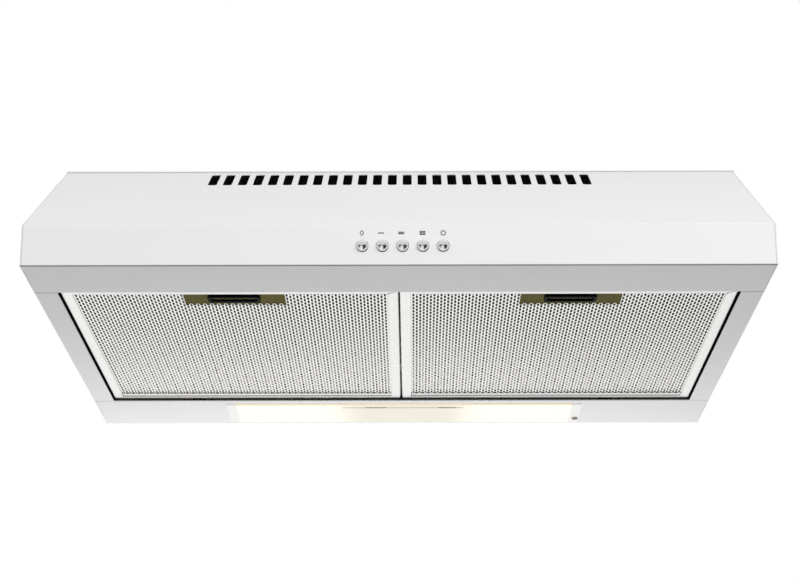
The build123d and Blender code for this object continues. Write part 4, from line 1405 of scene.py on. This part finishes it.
# One finish for each of the record's slots, and some for single nodes and pieces
FINISHES: dict[str, Finish] = {
    "white_enamel": Enamel((0.86, 0.865, 0.87), shell=HOOD_FACES, fold=(FRONT_Y, -HEIGHT)),
    "reflector_white": Enamel((0.88, 0.87, 0.84), 0.4),
    "galvanised_steel": Galvanised((0.6, 0.61, 0.62)),
    "filter_aluminium": RolledMetal((0.96, 0.95, 0.93), 0.3, 0.88, tint=(0.9, 0.89, 0.87)),
    "mesh_aluminium": RolledMetal(
        (1.0, 0.99, 0.965), 0.28, 0.85, (8.0, 1.0, 8.0), 0.006, tint=(0.95, 0.94, 0.91)
    ),
    "inner_strand": InnerStrand((0.07, 0.068, 0.064), (0.98, 0.965, 0.92)),
    "yellow_passivated": Passivated((0.1, 0.088, 0.003), (0.125, 0.105, 0.01), (0.2, 0.17, 0.05)),
    # Painted light: a far lighter copy of the latch plate's yellow chromate, so the strip in the ring's
    # shaded recess reads bright.
    "lit_strip_chromate": Passivated((0.5, 0.45, 0.17), (0.55, 0.5, 0.25), (0.6, 0.55, 0.3), 0.2),
    # Painted glint: a near-cream copy of the yellow chromate for the rear hooks, standing for the lamp's
    # light caught on them in the shaded gap.
    "hook_glint_chromate": Passivated((0.9, 0.82, 0.5), (0.96, 0.9, 0.62), (1.0, 0.96, 0.75), 0.25, 0.3, 0.5),
    "black_plastic": Moulded((0.004, 0.004, 0.0045), gloss=0.02),
    "switch_plastic": Moulded((0.045, 0.045, 0.05), 0.55),
    "impeller_plastic": Moulded((0.06, 0.06, 0.065)),
    "box_plastic": Moulded((0.66, 0.66, 0.64)),
    "socket_white": Moulded((0.76, 0.76, 0.73), 0.45),
    "cable_grey": Moulded((0.5, 0.5, 0.51), 0.55),
    "grommet_rubber": Moulded((0.018, 0.018, 0.018), 0.7),
    "button_chrome": Plated((0.86, 0.86, 0.865)),
    "plated_screw": Plated((0.66, 0.64, 0.6), 0.2),
    "bronzed_screw": Plated((0.3, 0.24, 0.15), 0.25),
    "spring_steel": Plated((0.58, 0.58, 0.58), 0.18),
    "stator_iron": Laminations((0.2, 0.195, 0.19)),
    "motor_steel": RolledMetal((0.52, 0.53, 0.54), 0.42, 0.9, (20.0, 1.0, 1.0)),
    "capacitor_can": RolledMetal((0.75, 0.75, 0.75), 0.3),
    "grey_ink": Ink((0.045, 0.045, 0.05)),
    "frosted_lens": LitLens(
        middle=(0.61, 0.555, 0.45), zone=(0.84, 0.83, 0.68), unlit=(0.6, 0.6, 0.58), amber=(0.85, 0.7, 0.45),
        brown=(0.05, 0.03, 0.01), centre=2.3 * MM, zone_x=60 * MM, end_x=165 * MM, front=75.0 * MM,
        slot=(83.6 * MM, 87.6 * MM), slot_x=(-59.0 * MM, 61.0 * MM),
        marks=((-36.0 * MM, -15.0 * MM), (36.0 * MM, 54.0 * MM)), strength=0.9,
    ),
    "bulb_glass": Glow((1.0, 0.86, 0.62), 4.0),
}
# The rear hooks take the near-cream chromate, a painted glint.
NODE_FINISHES = {
    "filter_hooks_left": "hook_glint_chromate", "filter_hooks_right": "hook_glint_chromate", "lens_screw": "bronzed_screw"
}


@dataclass
class RangeHood:
    """The whole hood: finishes for the CAD nodes, and the pieces made here."""

    frame: dict[str, Any]
    maker: Maker

    def build(self) -> None:
        """Dresses the CAD nodes and makes the new pieces."""
        self._dress()
        for side in Side:
            GreaseFilter(side, self.maker).build()
        ControlRow(self.maker).build()
        LampUnit(self.maker).build()

    def _dress(self) -> None:
        """Gives every CAD node the finish of the record's slot, or its own."""
        slots = {part["node"]: part["material_slot"] for part in self.frame["record"]["subparts"]}
        for name, node in self.frame["nodes"].items():
            node.data.materials.clear()
            node.data.materials.append(self.maker.materials[NODE_FINISHES.get(name, slots[name])])
        LOG.info("dressed %d CAD nodes", len(self.frame["nodes"]))


def main() -> None:
    """Builds the scene."""
    logging.basicConfig(level=logging.INFO, format="%(name)s: %(message)s")
    for unwanted in list(bpy.data.objects):
        bpy.data.objects.remove(unwanted)
    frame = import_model()
    bpy.context.scene.view_settings.view_transform = "Standard"
    maker = Maker({name: finish.make(name) for name, finish in FINISHES.items()})
    RangeHood(frame, maker).build()
    Studio().build()
    LOG.info("made %d pieces", maker.count)


if __name__ == "__main__":
    main()
